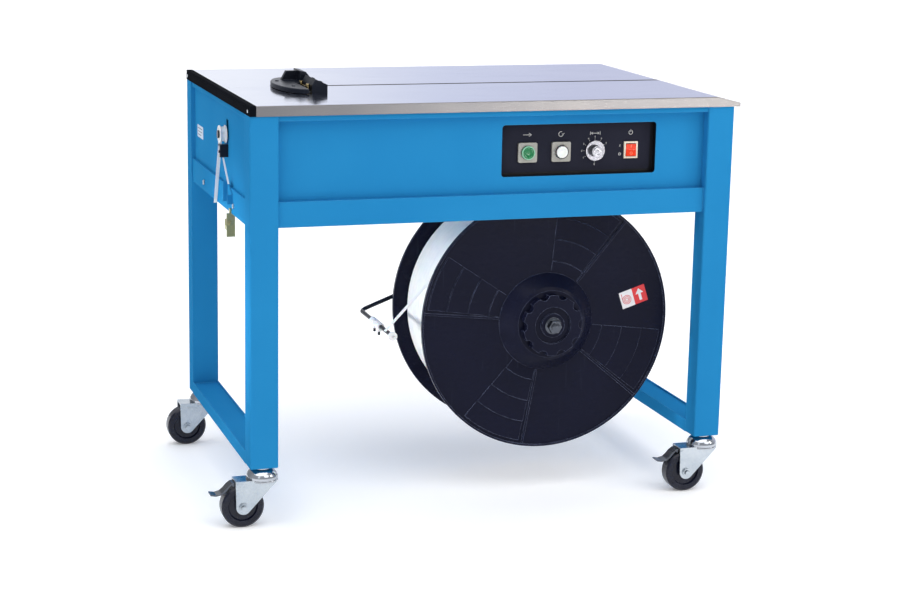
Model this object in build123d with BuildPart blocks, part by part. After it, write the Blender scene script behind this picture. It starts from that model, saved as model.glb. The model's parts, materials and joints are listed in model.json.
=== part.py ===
from build123d import *
import math
import os

os.makedirs("parts", exist_ok=True)

# A semi automatic strapping machine: a table on casters with a strapping head in its top,
# a control panel in its apron and a strap reel hung below.
# Millimetres. X runs along the table's length, Y from the operator's side to the rear, Z up.
# The origin is on the floor, under the middle of the whole machine's box.

# ---------------------------------------------------------------- driving dimensions

TABLE_LENGTH = 895.0
TABLE_DEPTH = 565.0
TABLE_HEIGHT = 735.0
TABLE_EDGE = 18.0
TABLE_CENTRE_X = 34.0
RAMP_LENGTH = 45.0
RAMP_DROP = 11.0
SLOT_Y = (-18.0, -6.0)
END_STRIP_WIDTH = 11.0
TOP_SHEET = 2.0

LEG_X = 50.0
LEG_Y = 40.0
LEG_WALL = 2.5
LEG_BOTTOM = 105.0
LEG_FRONT_INSET = 2.0
RIGHT_OVERHANG = 10.0
FOOT_BAR_HEIGHT = 23.0
FOOT_LIP = 3.0
LEG_CORNER = 3.0
LEG_FOOT = 4.0

RAIL_DEPTH = 30.0
TOP_RAIL_HEIGHT = 9.0
LOWER_RAIL_Z = (526.0, 570.0)
FRONT_RAIL_SETBACK = 8.0
SIDE_RAIL_SETBACK = 3.0
PANEL_SETBACK = 21.0
SIDE_PANEL_SETBACK = 8.0
SHEET = 2.0
TRAY_Z = 562.0

WINDOW_X = (39.0, 330.0)
WINDOW_Z = (598.5, 690.0)
WINDOW_DEPTH = 15.0
CONTROL_Z = 639.0
FEED_X = 91.0
RESET_X = 154.0
KNOB_X = 219.0
SWITCH_X = 287.0
BUTTON_TRAVEL = 3.5

REEL_X = 156.0
REEL_Z = 319.0
REEL_RADIUS = 237.0
REEL_FRONT = -190.0
REEL_REAR = -5.0
FLANGE_SHEET = 3.0
DRUM_RADIUS = 100.0
COIL_RADIUS = 211.0
AXLE_RADIUS = 8.0
RUNNING_FIT = 0.06
HUB_RISE = 26.0
HANDWHEEL_RADIUS = 56.0
HANDWHEEL_DEPTH = 14.0
AXLE_TIP_Y = -247.0

ARM_PIVOT = (94.0, 398.0)
ARM_Y = 12.0
ARM_CORNER = (-138.0, 309.0)
ARM_TIP_Y = -200.0
ARM_ROD = 3.75
STRAP_WIDTH = 12.0
STRAP_THICK = 0.6

CASTER_WHEEL_RADIUS = 37.5
CASTER_WHEEL_WIDTH = 26.0
CASTER_TRAIL = 36.0
CASTER_CAP_RADIUS = 28.0
CASTER_CAP_Z = 85.0

HEAD_Z = (735.5, 758.0)
HEAD_X = (-264.0, -236.0)
HEAD_Y = (-109.0, -36.0)
SLIDE_Z = (736.0, 744.0)
SLIDE_CENTRE = (-276.0, -40.0)
SLIDE_RADII = (42.0, 95.0)

CAM_X = -262.0
CAM_Z = 645.0
FEED_ROLLER_X = -345.0
FEED_ROLLER_RADIUS = 17.0
STRAP_LEVEL = 662.0
MOTOR_X = -60.0
MOTOR_Z = 640.0
BELT_Y = (58.0, 74.0)
CAM_PULLEY_RADIUS = 46.0
MOTOR_PULLEY_RADIUS = 20.0

ROLLER_Y = -60.0
ROLLER_Z = 658.0
ROLLER_RADIUS = 16.0
ROLLER_X = (-420.5, -408.5)

# ---------------------------------------------------------------- derived places

TABLE_X = (TABLE_CENTRE_X - TABLE_LENGTH / 2, TABLE_CENTRE_X + TABLE_LENGTH / 2)
TABLE_Y = (-TABLE_DEPTH / 2, TABLE_DEPTH / 2)
PLATE_X = (TABLE_X[0] + END_STRIP_WIDTH, TABLE_X[1])
TABLE_BOTTOM = TABLE_HEIGHT - TABLE_EDGE
LEFT_LEG_X = (TABLE_X[0], TABLE_X[0] + LEG_X)
RIGHT_LEG_X = (TABLE_X[1] - RIGHT_OVERHANG - LEG_X, TABLE_X[1] - RIGHT_OVERHANG)
REAR_LEG_Y = (TABLE_Y[1] - LEG_FRONT_INSET - LEG_Y, TABLE_Y[1] - LEG_FRONT_INSET)
FRONT_LEG_Y = (-REAR_LEG_Y[1], -REAR_LEG_Y[0])
BAY_X = (LEFT_LEG_X[1], RIGHT_LEG_X[0])
BAY_Y = (FRONT_LEG_Y[1], REAR_LEG_Y[0])
PANEL_Z = (LOWER_RAIL_Z[1], TABLE_BOTTOM - TOP_RAIL_HEIGHT)
PANEL_FRONT_Y = FRONT_LEG_Y[0] + PANEL_SETBACK
LEFT_PANEL_X = LEFT_LEG_X[0] + SIDE_PANEL_SETBACK
RIGHT_PANEL_X = RIGHT_LEG_X[1] - SIDE_PANEL_SETBACK
CONTROL_FACE_Y = PANEL_FRONT_Y + WINDOW_DEPTH
CASTER_SPOTS = {
    "front_left": (sum(LEFT_LEG_X) / 2, sum(FRONT_LEG_Y) / 2),
    "front_right": (sum(RIGHT_LEG_X) / 2, sum(FRONT_LEG_Y) / 2),
    "rear_left": (sum(LEFT_LEG_X) / 2, sum(REAR_LEG_Y) / 2),
    "rear_right": (sum(RIGHT_LEG_X) / 2, sum(REAR_LEG_Y) / 2),
}


# ---------------------------------------------------------------- shared shapes


def save(piece, name):
    """Label a finished piece and write it as a STEP file."""
    piece.part.label = name
    export_step(piece.part, f"parts/{name}.step")


def block(x, y, z, mode=Mode.ADD):
    """Rectangular block between the pairs of limits x, y and z."""
    with Locations((sum(x) / 2, sum(y) / 2, sum(z) / 2)):
        Box(x[1] - x[0], y[1] - y[0], z[1] - z[0], mode=mode)


def inside(limits, wall):
    """The pair of limits moved inwards by a wall."""
    return (limits[0] + wall, limits[1] - wall)


def past(limits, extra):
    """The pair of limits moved outwards, for a cut that goes right through."""
    return (limits[0] - extra, limits[1] + extra)


def tube_x(x, y, z, wall):
    """Rectangular tube along X."""
    block(x, y, z)
    block(past(x, 1), inside(y, wall), inside(z, wall), Mode.SUBTRACT)


def tube_y(x, y, z, wall):
    """Rectangular tube along Y."""
    block(x, y, z)
    block(inside(x, wall), past(y, 1), inside(z, wall), Mode.SUBTRACT)


def bar_y(radius, x, z, y, mode=Mode.ADD):
    """Round bar along Y between the limits y."""
    with BuildSketch(Plane.XZ.offset(-y[0])) as section:
        with Locations((x, z)):
            Circle(radius)
    extrude(section.sketch, amount=-(y[1] - y[0]), mode=mode)


def bar_x(radius, y, z, x, mode=Mode.ADD):
    """Round bar along X between the limits x."""
    with BuildSketch(Plane.YZ.offset(x[0])) as section:
        with Locations((y, z)):
            Circle(radius)
    extrude(section.sketch, amount=x[1] - x[0], mode=mode)


def bar_z(radius, x, y, z, mode=Mode.ADD):
    """Round bar along Z between the limits z."""
    with BuildSketch(Plane.XY.offset(z[0])) as section:
        with Locations((x, y)):
            Circle(radius)
    extrude(section.sketch, amount=z[1] - z[0], mode=mode)


def plate_y(points, y, mode=Mode.ADD):
    """Plate with an outline in X and Z, between the limits y."""
    with BuildSketch(Plane.XZ.offset(-y[0])) as section:
        with BuildLine():
            Polyline(*points, close=True)
        make_face()
    extrude(section.sketch, amount=-(y[1] - y[0]), mode=mode)


def plate_x(points, x, mode=Mode.ADD):
    """Plate with an outline in Y and Z, between the limits x."""
    with BuildSketch(Plane.YZ.offset(x[0])) as section:
        with BuildLine():
            Polyline(*points, close=True)
        make_face()
    extrude(section.sketch, amount=x[1] - x[0], mode=mode)


# ---------------------------------------------------------------- frame


for legs_name, legs_y, outer_y, inner_y in (
    ("front_legs", FRONT_LEG_Y, FRONT_LEG_Y[0], FRONT_LEG_Y[1]),
    ("rear_legs", REAR_LEG_Y, REAR_LEG_Y[1], REAR_LEG_Y[0]),
):
    with BuildPart() as legs:
        for x in (LEFT_LEG_X, RIGHT_LEG_X):
            block(x, legs_y, (LEG_BOTTOM, TABLE_BOTTOM))
        upright = legs.edges().filter_by(Axis.Z)
        fillet([edge for edge in upright if abs(edge.center().Y - outer_y) < 1], LEG_CORNER)
        foot = legs.edges().group_by(Axis.Z)[0]
        fillet([edge for edge in foot if abs(edge.center().Y - inner_y) > 1], LEG_CORNER - 1)
        for x in (LEFT_LEG_X, RIGHT_LEG_X):
            hollow_z = (LEG_BOTTOM + LEG_FOOT, TABLE_BOTTOM + 1)
            block(inside(x, LEG_WALL), inside(legs_y, LEG_WALL), hollow_z, Mode.SUBTRACT)
    save(legs, legs_name)

with BuildPart() as foot_bars:
    lip_top = LEG_BOTTOM + FOOT_BAR_HEIGHT
    for x in (LEFT_LEG_X, RIGHT_LEG_X):
        tube_y(x, BAY_Y, (LEG_BOTTOM, lip_top - FOOT_LIP), LEG_WALL)
        for lip_x in ((x[0], x[0] + LEG_WALL), (x[1] - LEG_WALL, x[1])):
            block(lip_x, BAY_Y, (LEG_BOTTOM, lip_top))
save(foot_bars, "foot_bars")

with BuildPart() as frame_rails:
    for z, setback in (
        ((TABLE_BOTTOM - TOP_RAIL_HEIGHT, TABLE_BOTTOM), SIDE_RAIL_SETBACK),
        (LOWER_RAIL_Z, FRONT_RAIL_SETBACK),
    ):
        front_y = FRONT_LEG_Y[0] + setback
        tube_x(BAY_X, (front_y, BAY_Y[0]), z, SHEET)
        tube_x(BAY_X, (BAY_Y[1], -front_y), z, SHEET)
        left_x = LEFT_LEG_X[0] + SIDE_RAIL_SETBACK
        right_x = RIGHT_LEG_X[1] - SIDE_RAIL_SETBACK
        tube_y((left_x, left_x + RAIL_DEPTH), BAY_Y, z, SHEET)
        tube_y((right_x - RAIL_DEPTH, right_x), BAY_Y, z, SHEET)
save(frame_rails, "frame_rails")

with BuildPart() as front_panel:
    block(BAY_X, (PANEL_FRONT_Y, PANEL_FRONT_Y + SHEET), PANEL_Z)
    with BuildSketch(Plane.XZ.offset(-PANEL_FRONT_Y + 1)) as window:
        with Locations((sum(WINDOW_X) / 2, sum(WINDOW_Z) / 2)):
            RectangleRounded(WINDOW_X[1] - WINDOW_X[0], WINDOW_Z[1] - WINDOW_Z[0], 6)
    extrude(window.sketch, amount=-(SHEET + 2), mode=Mode.SUBTRACT)
save(front_panel, "front_panel")

GLAND_X = 300.0
GLAND_Z = 610.0
VENT_X = -150.0
VENT_PITCH = 12.0
VENT_COUNT = 8

with BuildPart() as rear_panel:
    block(BAY_X, (-PANEL_FRONT_Y - SHEET, -PANEL_FRONT_Y), PANEL_Z)
    for row in range(VENT_COUNT):
        vent_z = PANEL_Z[0] + 28 + row * VENT_PITCH
        for vent_x in (VENT_X - 60, VENT_X + 60):
            vent = ((vent_x - 45, vent_x + 45), past((-PANEL_FRONT_Y - SHEET, -PANEL_FRONT_Y), 1))
            block(*vent, (vent_z - 2, vent_z + 2), Mode.SUBTRACT)
    bar_y(8, GLAND_X, GLAND_Z, past((-PANEL_FRONT_Y - SHEET, -PANEL_FRONT_Y), 1), Mode.SUBTRACT)
save(rear_panel, "rear_panel")

STRAP_SLOT_Y = (ROLLER_Y - 9, ROLLER_Y + 9)
STRAP_SLOT_Z = (660.0, 684.0)

with BuildPart() as left_panel:
    block((LEFT_PANEL_X, LEFT_PANEL_X + SHEET), BAY_Y, PANEL_Z)
    block(past((LEFT_PANEL_X, LEFT_PANEL_X + SHEET), 1), STRAP_SLOT_Y, STRAP_SLOT_Z, Mode.SUBTRACT)
save(left_panel, "left_panel")

with BuildPart() as right_panel:
    block((RIGHT_PANEL_X - SHEET, RIGHT_PANEL_X), BAY_Y, PANEL_Z)
save(right_panel, "right_panel")

TRAY_X = (LEFT_LEG_X[0] + SIDE_RAIL_SETBACK + RAIL_DEPTH, RIGHT_LEG_X[1] - SIDE_RAIL_SETBACK - RAIL_DEPTH)

with BuildPart() as bottom_tray:
    block(TRAY_X, BAY_Y, (TRAY_Z, LOWER_RAIL_Z[1]))
    block(inside(TRAY_X, SHEET), inside(BAY_Y, SHEET), (TRAY_Z + SHEET, LOWER_RAIL_Z[1] + 1), Mode.SUBTRACT)
save(bottom_tray, "bottom_tray")

SCREW_RADIUS = 4.5
SCREW_HEIGHT = 2.4
SIDE_SCREW_Y = (-137.0, 127.0)
SIDE_SCREW_Z = 542.0


def pan_head_x(outer_x, y, z, outward):
    """Pan-head screw on a side face, with a cross recess."""
    limits = sorted((outer_x, outer_x + outward * SCREW_HEIGHT))
    bar_x(SCREW_RADIUS, y, z, limits)
    recess = sorted((outer_x + outward * 1.2, outer_x + outward * (SCREW_HEIGHT + 1)))
    block(recess, (y - 2.8, y + 2.8), (z - 0.6, z + 0.6), Mode.SUBTRACT)
    block(recess, (y - 0.6, y + 0.6), (z - 2.8, z + 2.8), Mode.SUBTRACT)


def pan_head_y(outer_y, x, z):
    """Pan-head screw on the rear panel, with a cross recess."""
    bar_y(SCREW_RADIUS, x, z, (outer_y, outer_y + SCREW_HEIGHT))
    recess = (outer_y + 1.2, outer_y + SCREW_HEIGHT + 1)
    block((x - 2.8, x + 2.8), recess, (z - 0.6, z + 0.6), Mode.SUBTRACT)
    block((x - 0.6, x + 0.6), recess, (z - 2.8, z + 2.8), Mode.SUBTRACT)


with BuildPart() as panel_screws:
    for screw_y in SIDE_SCREW_Y:
        pan_head_x(LEFT_LEG_X[0] + SIDE_RAIL_SETBACK, screw_y, SIDE_SCREW_Z, -1)
        pan_head_x(RIGHT_LEG_X[1] - SIDE_RAIL_SETBACK, screw_y, SIDE_SCREW_Z, 1)
    for screw_x in (BAY_X[0] + 20, sum(BAY_X) / 2, BAY_X[1] - 20):
        for screw_z in (PANEL_Z[0] + 10, PANEL_Z[1] - 10):
            pan_head_y(-PANEL_FRONT_Y, screw_x, screw_z)
    for screw_y in (-268.0, 268.0):
        bar_x(3, screw_y, TABLE_HEIGHT - 10, (TABLE_X[0] - 1.2, TABLE_X[0]))
save(panel_screws, "panel_screws")

# ---------------------------------------------------------------- table top


def top_profile(inset):
    """Side outline of the table sheet in X and Z: flat, then a ramp down at the right end."""
    x0 = PLATE_X[0] + inset
    x1 = PLATE_X[1] - inset
    top = TABLE_HEIGHT - inset
    bottom = TABLE_BOTTOM if inset == 0 else TABLE_BOTTOM - 1
    return [(x0, bottom), (x0, top), (x1 - RAMP_LENGTH + inset, top), (x1, top - RAMP_DROP), (x1, bottom)]


def slide_outline(clearance):
    """Plan of the sliding head cover: a half oval nose to the left, a square lobe behind."""
    with Locations(SLIDE_CENTRE):
        Ellipse(SLIDE_RADII[0] + clearance, SLIDE_RADII[1] + clearance)
    right_half = (SLIDE_CENTRE[0] + SLIDE_RADII[0], SLIDE_CENTRE[1])
    with Locations(right_half):
        Rectangle(2 * SLIDE_RADII[0], 4 * SLIDE_RADII[1], mode=Mode.SUBTRACT)
    lobe_x = (SLIDE_CENTRE[0] - 1, HEAD_X[1] + clearance)
    lobe_y = (HEAD_Y[1] + 6 - clearance, SLIDE_CENTRE[1] + SLIDE_RADII[1] + clearance)
    with Locations((sum(lobe_x) / 2, sum(lobe_y) / 2)):
        Rectangle(lobe_x[1] - lobe_x[0], lobe_y[1] - lobe_y[0])


HEAD_GAP = 0.6

with BuildPart() as head_cutout:
    with BuildSketch(Plane.XY.offset(TABLE_BOTTOM - 5)) as head_hole:
        slide_outline(HEAD_GAP)
        hole_x = (SLIDE_CENTRE[0] - 1, HEAD_X[1] + HEAD_GAP)
        hole_y = (HEAD_Y[0] - HEAD_GAP, HEAD_Y[1] + 8)
        with Locations((sum(hole_x) / 2, sum(hole_y) / 2)):
            Rectangle(hole_x[1] - hole_x[0], hole_y[1] - hole_y[0])
    extrude(head_hole.sketch, amount=TABLE_EDGE + 10)

SEAM = 0.4
SLOT_START_X = HEAD_X[1] + HEAD_GAP


def folded_sheet(y):
    """Stainless sheet folded down along its edges."""
    plate_y(top_profile(0), y)
    plate_y(top_profile(TOP_SHEET), inside(y, TOP_SHEET), Mode.SUBTRACT)


with BuildPart() as table_front:
    folded_sheet((TABLE_Y[0], SLOT_Y[0]))
    front_edge = table_front.edges().filter_by(Axis.X).group_by(Axis.Y)[0].sort_by(Axis.Z)[-1]
    fillet(front_edge, 1.6)
    add(head_cutout.part, mode=Mode.SUBTRACT)
save(table_front, "table_front")

with BuildPart() as table_rear:
    folded_sheet((SLOT_Y[1], TABLE_Y[1]))
    rear_edge = table_rear.edges().filter_by(Axis.X).group_by(Axis.Y)[-1].sort_by(Axis.Z)[-1]
    fillet(rear_edge, 1.6)
    tongue_x = (PLATE_X[0], SLOT_START_X)
    block(tongue_x, (SLOT_Y[0] + SEAM, SLOT_Y[1] + TOP_SHEET), (TABLE_HEIGHT - TOP_SHEET, TABLE_HEIGHT))
    add(head_cutout.part, mode=Mode.SUBTRACT)
save(table_rear, "table_rear")

with BuildPart() as end_strip:
    block((TABLE_X[0], PLATE_X[0]), TABLE_Y, (TABLE_BOTTOM, TABLE_HEIGHT))
    groove_z = TABLE_HEIGHT - 4.5
    groove_x = (TABLE_X[0] - 1, TABLE_X[0] + 0.8)
    block(groove_x, past(TABLE_Y, 1), (groove_z - 0.6, groove_z + 0.6), Mode.SUBTRACT)
    chamfer(end_strip.edges().filter_by(Axis.Y).group_by(Axis.Z)[-1].sort_by(Axis.X)[0], 1.0)
save(end_strip, "end_strip")

TRACK_X = (SLOT_START_X + 4, TABLE_X[1] - RAMP_LENGTH)
TRACK_Z = (TABLE_BOTTOM - 3, TABLE_HEIGHT - 6)

with BuildPart() as strap_track:
    block(TRACK_X, (SLOT_Y[0], SLOT_Y[1]), TRACK_Z)
    block(past(TRACK_X, 1), inside(SLOT_Y, 1), (TABLE_BOTTOM, TABLE_HEIGHT), Mode.SUBTRACT)
save(strap_track, "strap_track")

# ---------------------------------------------------------------- strapping head

RAM_X = (-312.0, -266.0)
RAM_Y = (-34.0, -12.0)
GROOVE_X = (-258.0, -245.0)
GROOVE_Y = (-8.0, 50.0)
PRESS_PLATE_Y = ((-52.0, -46.0), (30.0, 36.0))
PRESS_X = (-372.0, -205.0)
PRESS_Z = (TRAY_Z + SHEET, 712.0)
SHAFT_RADIUS = 9.0
ROLLER_SHAFT = 7.0

with BuildPart() as press_frame:
    for y in PRESS_PLATE_Y:
        block(PRESS_X, y, PRESS_Z)
        bar_y(SHAFT_RADIUS + RUNNING_FIT, CAM_X, CAM_Z, past(y, 1), Mode.SUBTRACT)
        for side in (-1, 1):
            roller_z = STRAP_LEVEL + side * (FEED_ROLLER_RADIUS + 0.8)
            bar_y(ROLLER_SHAFT + RUNNING_FIT, FEED_ROLLER_X, roller_z, past(y, 1), Mode.SUBTRACT)
    for spacer_x, spacer_z in ((-364, 585), (-212, 585), (-212, 700)):
        bar_y(6, spacer_x, spacer_z, (PRESS_PLATE_Y[0][1], PRESS_PLATE_Y[1][0]))
    with BuildSketch(Plane.XY.offset(PRESS_Z[1])) as head_base:
        slide_outline(0)
        base_x = (SLIDE_CENTRE[0] - 1, HEAD_X[1])
        base_y = (HEAD_Y[0], HEAD_Y[1] + 8)
        with Locations((sum(base_x) / 2, sum(base_y) / 2)):
            Rectangle(base_x[1] - base_x[0], base_y[1] - base_y[0])
    extrude(head_base.sketch, amount=TABLE_HEIGHT - 0.3 - PRESS_Z[1])
    block(RAM_X, RAM_Y, past((PRESS_Z[1], TABLE_HEIGHT), 1), Mode.SUBTRACT)
    block(GROOVE_X, GROOVE_Y, (TABLE_HEIGHT - 9, TABLE_HEIGHT + 1), Mode.SUBTRACT)
save(press_frame, "press_frame")

with BuildPart() as head_block:
    head_outline = [
        (HEAD_X[0], HEAD_Z[0]),
        (HEAD_X[1], HEAD_Z[0]),
        (HEAD_X[1], HEAD_Z[1] - 10),
        (HEAD_X[0] + 6, HEAD_Z[1]),
        (HEAD_X[0], HEAD_Z[1] - 11),
    ]
    plate_y(head_outline, HEAD_Y)
    strap_gate = (HEAD_X[0] - 1, HEAD_X[0] + 9)
    block(strap_gate, (HEAD_Y[0] + 24, HEAD_Y[1] - 24), (HEAD_Z[0] + 2, HEAD_Z[0] + 9), Mode.SUBTRACT)
    block(HEAD_X, HEAD_Y, (TABLE_HEIGHT - 0.3, HEAD_Z[0]))
save(head_block, "head_block")

with BuildPart() as brass_guides:
    for pin_y in (HEAD_Y[0] + 12, HEAD_Y[1] - 14):
        bar_z(2.6, HEAD_X[0] - 5, pin_y, (TABLE_HEIGHT - 0.3, TABLE_HEIGHT + 12))
        bar_z(3.4, HEAD_X[0] - 5, pin_y, (TABLE_HEIGHT + 12, TABLE_HEIGHT + 14))
    block((HEAD_X[0] - 7, HEAD_X[0] - 3), inside(HEAD_Y, 22), (TABLE_HEIGHT - 0.3, TABLE_HEIGHT + 9))
save(brass_guides, "brass_guides")

FIN_Z = 763.0

with BuildPart() as slide_table:
    with BuildSketch(Plane.XY.offset(SLIDE_Z[0])) as cover:
        slide_outline(0)
    extrude(cover.sketch, amount=SLIDE_Z[1] - SLIDE_Z[0])
    nose_edge = slide_table.edges().group_by(Axis.Z)[-1].filter_by(GeomType.ELLIPSE)
    chamfer(nose_edge, 1.2)
    cover_top = SLIDE_Z[1]
    fin_outline = [(-292, cover_top), (-283, FIN_Z - 2.5), (-263, FIN_Z - 2.5), (-260, cover_top)]
    plate_y(fin_outline, (8.0, 18.0))
    peak_outline = [
        (-264, cover_top),
        (-263, FIN_Z),
        (-253, FIN_Z - 2),
        (-242, cover_top + 4),
        (-240, cover_top),
    ]
    plate_y(peak_outline, (-18.0, 34.0))
    block(inside(GROOVE_X, 0.5), (GROOVE_Y[0] + 1, GROOVE_Y[0] + 30), (TABLE_HEIGHT - 8, SLIDE_Z[0] + 1))
save(slide_table, "slide_table")

RAM_TRAVEL = 8.0
RAM_BOTTOM = 680.0

with BuildPart() as press_rams:
    ram_width = (RAM_X[1] - RAM_X[0] - 4) / 3
    for number in range(3):
        ram_x0 = RAM_X[0] + 1 + number * (ram_width + 1)
        block((ram_x0, ram_x0 + ram_width), inside(RAM_Y, 1), (RAM_BOTTOM, TABLE_HEIGHT - 1 - RAM_TRAVEL))
save(press_rams, "press_rams")

with BuildPart() as cam_shaft:
    bar_y(SHAFT_RADIUS, CAM_X, CAM_Z, (-60.0, BELT_Y[1] + 6))
    for number, cam_y in enumerate((-36.0, -22.0, -8.0, 6.0)):
        bar_y(26, CAM_X, CAM_Z, (cam_y, cam_y + 8))
        lobe = math.radians(200 + 35 * number)
        bar_y(18, CAM_X + 14 * math.cos(lobe), CAM_Z + 14 * math.sin(lobe), (cam_y, cam_y + 8))
    bar_y(CAM_PULLEY_RADIUS, CAM_X, CAM_Z, BELT_Y)
    bar_y(CAM_PULLEY_RADIUS + 3, CAM_X, CAM_Z, (BELT_Y[0] - 2, BELT_Y[0]))
    bar_y(CAM_PULLEY_RADIUS + 3, CAM_X, CAM_Z, (BELT_Y[1], BELT_Y[1] + 2))
    bar_y(20, CAM_X, CAM_Z, (BELT_Y[0] - 12, BELT_Y[0] - 2))
save(cam_shaft, "cam_shaft")


def feed_roller(side):
    """Knurled feed roller on its shaft, below or above the strap."""
    z = STRAP_LEVEL + side * (FEED_ROLLER_RADIUS + 0.8)
    bar_y(ROLLER_SHAFT, FEED_ROLLER_X, z, (-58.0, 42.0))
    bar_y(FEED_ROLLER_RADIUS, FEED_ROLLER_X, z, (ROLLER_Y + 34, ROLLER_Y + 54))
    bar_y(FEED_ROLLER_RADIUS - 5, FEED_ROLLER_X, z, (ROLLER_Y + 54, 24.0))


with BuildPart() as feed_roller_lower:
    feed_roller(-1)
save(feed_roller_lower, "feed_roller_lower")

with BuildPart() as feed_roller_upper:
    feed_roller(1)
save(feed_roller_upper, "feed_roller_upper")

MOTOR_RADIUS = 44.0
MOTOR_Y = (-92.0, 22.0)
GEAR_CASE_Y = (22.0, 50.0)
OUTPUT_RADIUS = 7.0

with BuildPart() as drive_motor:
    bar_y(MOTOR_RADIUS, MOTOR_X, MOTOR_Z, MOTOR_Y)
    for fin in range(9):
        fin_y = MOTOR_Y[0] + 16 + fin * 10
        bar_y(MOTOR_RADIUS + 4, MOTOR_X, MOTOR_Z, (fin_y, fin_y + 3))
    block((MOTOR_X - 48, MOTOR_X + 48), GEAR_CASE_Y, (MOTOR_Z - 48, MOTOR_Z + 48))
    block((MOTOR_X - 46, MOTOR_X + 46), (MOTOR_Y[0] + 20, GEAR_CASE_Y[1]), (TRAY_Z + SHEET, MOTOR_Z - 40))
    bar_y(16, MOTOR_X, MOTOR_Z, (GEAR_CASE_Y[1], GEAR_CASE_Y[1] + 4))
    bar_y(OUTPUT_RADIUS + RUNNING_FIT, MOTOR_X, MOTOR_Z, (GEAR_CASE_Y[0], GEAR_CASE_Y[1] + 5), Mode.SUBTRACT)
save(drive_motor, "drive_motor")

with BuildPart() as motor_pulley:
    bar_y(OUTPUT_RADIUS, MOTOR_X, MOTOR_Z, (GEAR_CASE_Y[0] + 1, BELT_Y[1] + 4))
    bar_y(MOTOR_PULLEY_RADIUS, MOTOR_X, MOTOR_Z, BELT_Y)
    bar_y(MOTOR_PULLEY_RADIUS + 3, MOTOR_X, MOTOR_Z, (BELT_Y[0] - 2, BELT_Y[0]))
    bar_y(MOTOR_PULLEY_RADIUS + 3, MOTOR_X, MOTOR_Z, (BELT_Y[1], BELT_Y[1] + 2))
save(motor_pulley, "motor_pulley")

BELT_THICK = 3.0
BELT_GAP = 0.3

with BuildPart() as drive_belt:
    for grow, mode in ((BELT_THICK + BELT_GAP, Mode.ADD), (BELT_GAP, Mode.SUBTRACT)):
        with BuildSketch(Plane.XZ.offset(-BELT_Y[0] - 1)) as loop:
            with Locations((CAM_X, CAM_Z)):
                Circle(CAM_PULLEY_RADIUS + grow)
            with Locations((MOTOR_X, MOTOR_Z)):
                Circle(MOTOR_PULLEY_RADIUS + grow)
            make_hull()
        extrude(loop.sketch, amount=-(BELT_Y[1] - BELT_Y[0] - 2), mode=mode)
save(drive_belt, "drive_belt")

with BuildPart() as transformer:
    core = ((60.0, 150.0), (-60.0, 10.0))
    block(*core, (TRAY_Z + SHEET, 640.0))
    block((76.0, 134.0), (-84.0, 34.0), (TRAY_Z + 12, 630.0))
    for foot_y in (-60.0, 10.0):
        block((52.0, 158.0), (foot_y - 6, foot_y + 6), (TRAY_Z + SHEET, TRAY_Z + SHEET + 3))
save(transformer, "transformer")

BOARD_SHEET = 1.6
CHIPS = ((250, 90, 14), (290, 90, 14), (330, 90, 14), (260, 150, 22), (320, 150, 8), (370, 140, 30))

with BuildPart() as circuit_board:
    board_z = TRAY_Z + SHEET + 12
    block((220.0, 400.0), (60.0, 190.0), (board_z, board_z + BOARD_SHEET))
    for post_x in (228.0, 392.0):
        for post_y in (68.0, 182.0):
            bar_z(3, post_x, post_y, (TRAY_Z + SHEET, board_z))
    chip_z = board_z + BOARD_SHEET
    for chip_x, chip_y, chip_height in CHIPS:
        block((chip_x - 12, chip_x + 12), (chip_y - 10, chip_y + 10), (chip_z, chip_z + chip_height))
save(circuit_board, "circuit_board")

# ---------------------------------------------------------------- control panel

SURROUND_WALL = 3.0
BEZEL_SIZE = 35.0
BEZEL_RISE = 5.0
CAP_RADIUS = 12.2
CAP_HOLE = CAP_RADIUS + 0.4
STEM_RADIUS = 8.0
KNOB_RADIUS = 18.0
KNOB_SHAFT = 3.0
SWITCH_SIZE = (26.0, 30.0)
ROCKER_SIZE = (19.0, 23.0)
FACE_THICK = 3.0
ROCKER_PIN = 1.5

with BuildPart() as control_box:
    outer_x = past(WINDOW_X, 4)
    outer_z = past(WINDOW_Z, 4)
    block(outer_x, (PANEL_FRONT_Y + SHEET, CONTROL_FACE_Y + FACE_THICK), outer_z)
    block(WINDOW_X, (PANEL_FRONT_Y, CONTROL_FACE_Y), WINDOW_Z, Mode.SUBTRACT)
    through_face = past((CONTROL_FACE_Y, CONTROL_FACE_Y + FACE_THICK), 1)
    for button_x in (FEED_X, RESET_X):
        bar_y(CAP_HOLE, button_x, CONTROL_Z, through_face, Mode.SUBTRACT)
    bar_y(KNOB_SHAFT + RUNNING_FIT, KNOB_X, CONTROL_Z, through_face, Mode.SUBTRACT)
    switch_hole_x = (SWITCH_X - ROCKER_SIZE[0] / 2 - 1, SWITCH_X + ROCKER_SIZE[0] / 2 + 1)
    switch_hole_z = (CONTROL_Z - ROCKER_SIZE[1] / 2 - 1, CONTROL_Z + ROCKER_SIZE[1] / 2 + 1)
    block(switch_hole_x, through_face, switch_hole_z, Mode.SUBTRACT)
save(control_box, "control_box")

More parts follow.
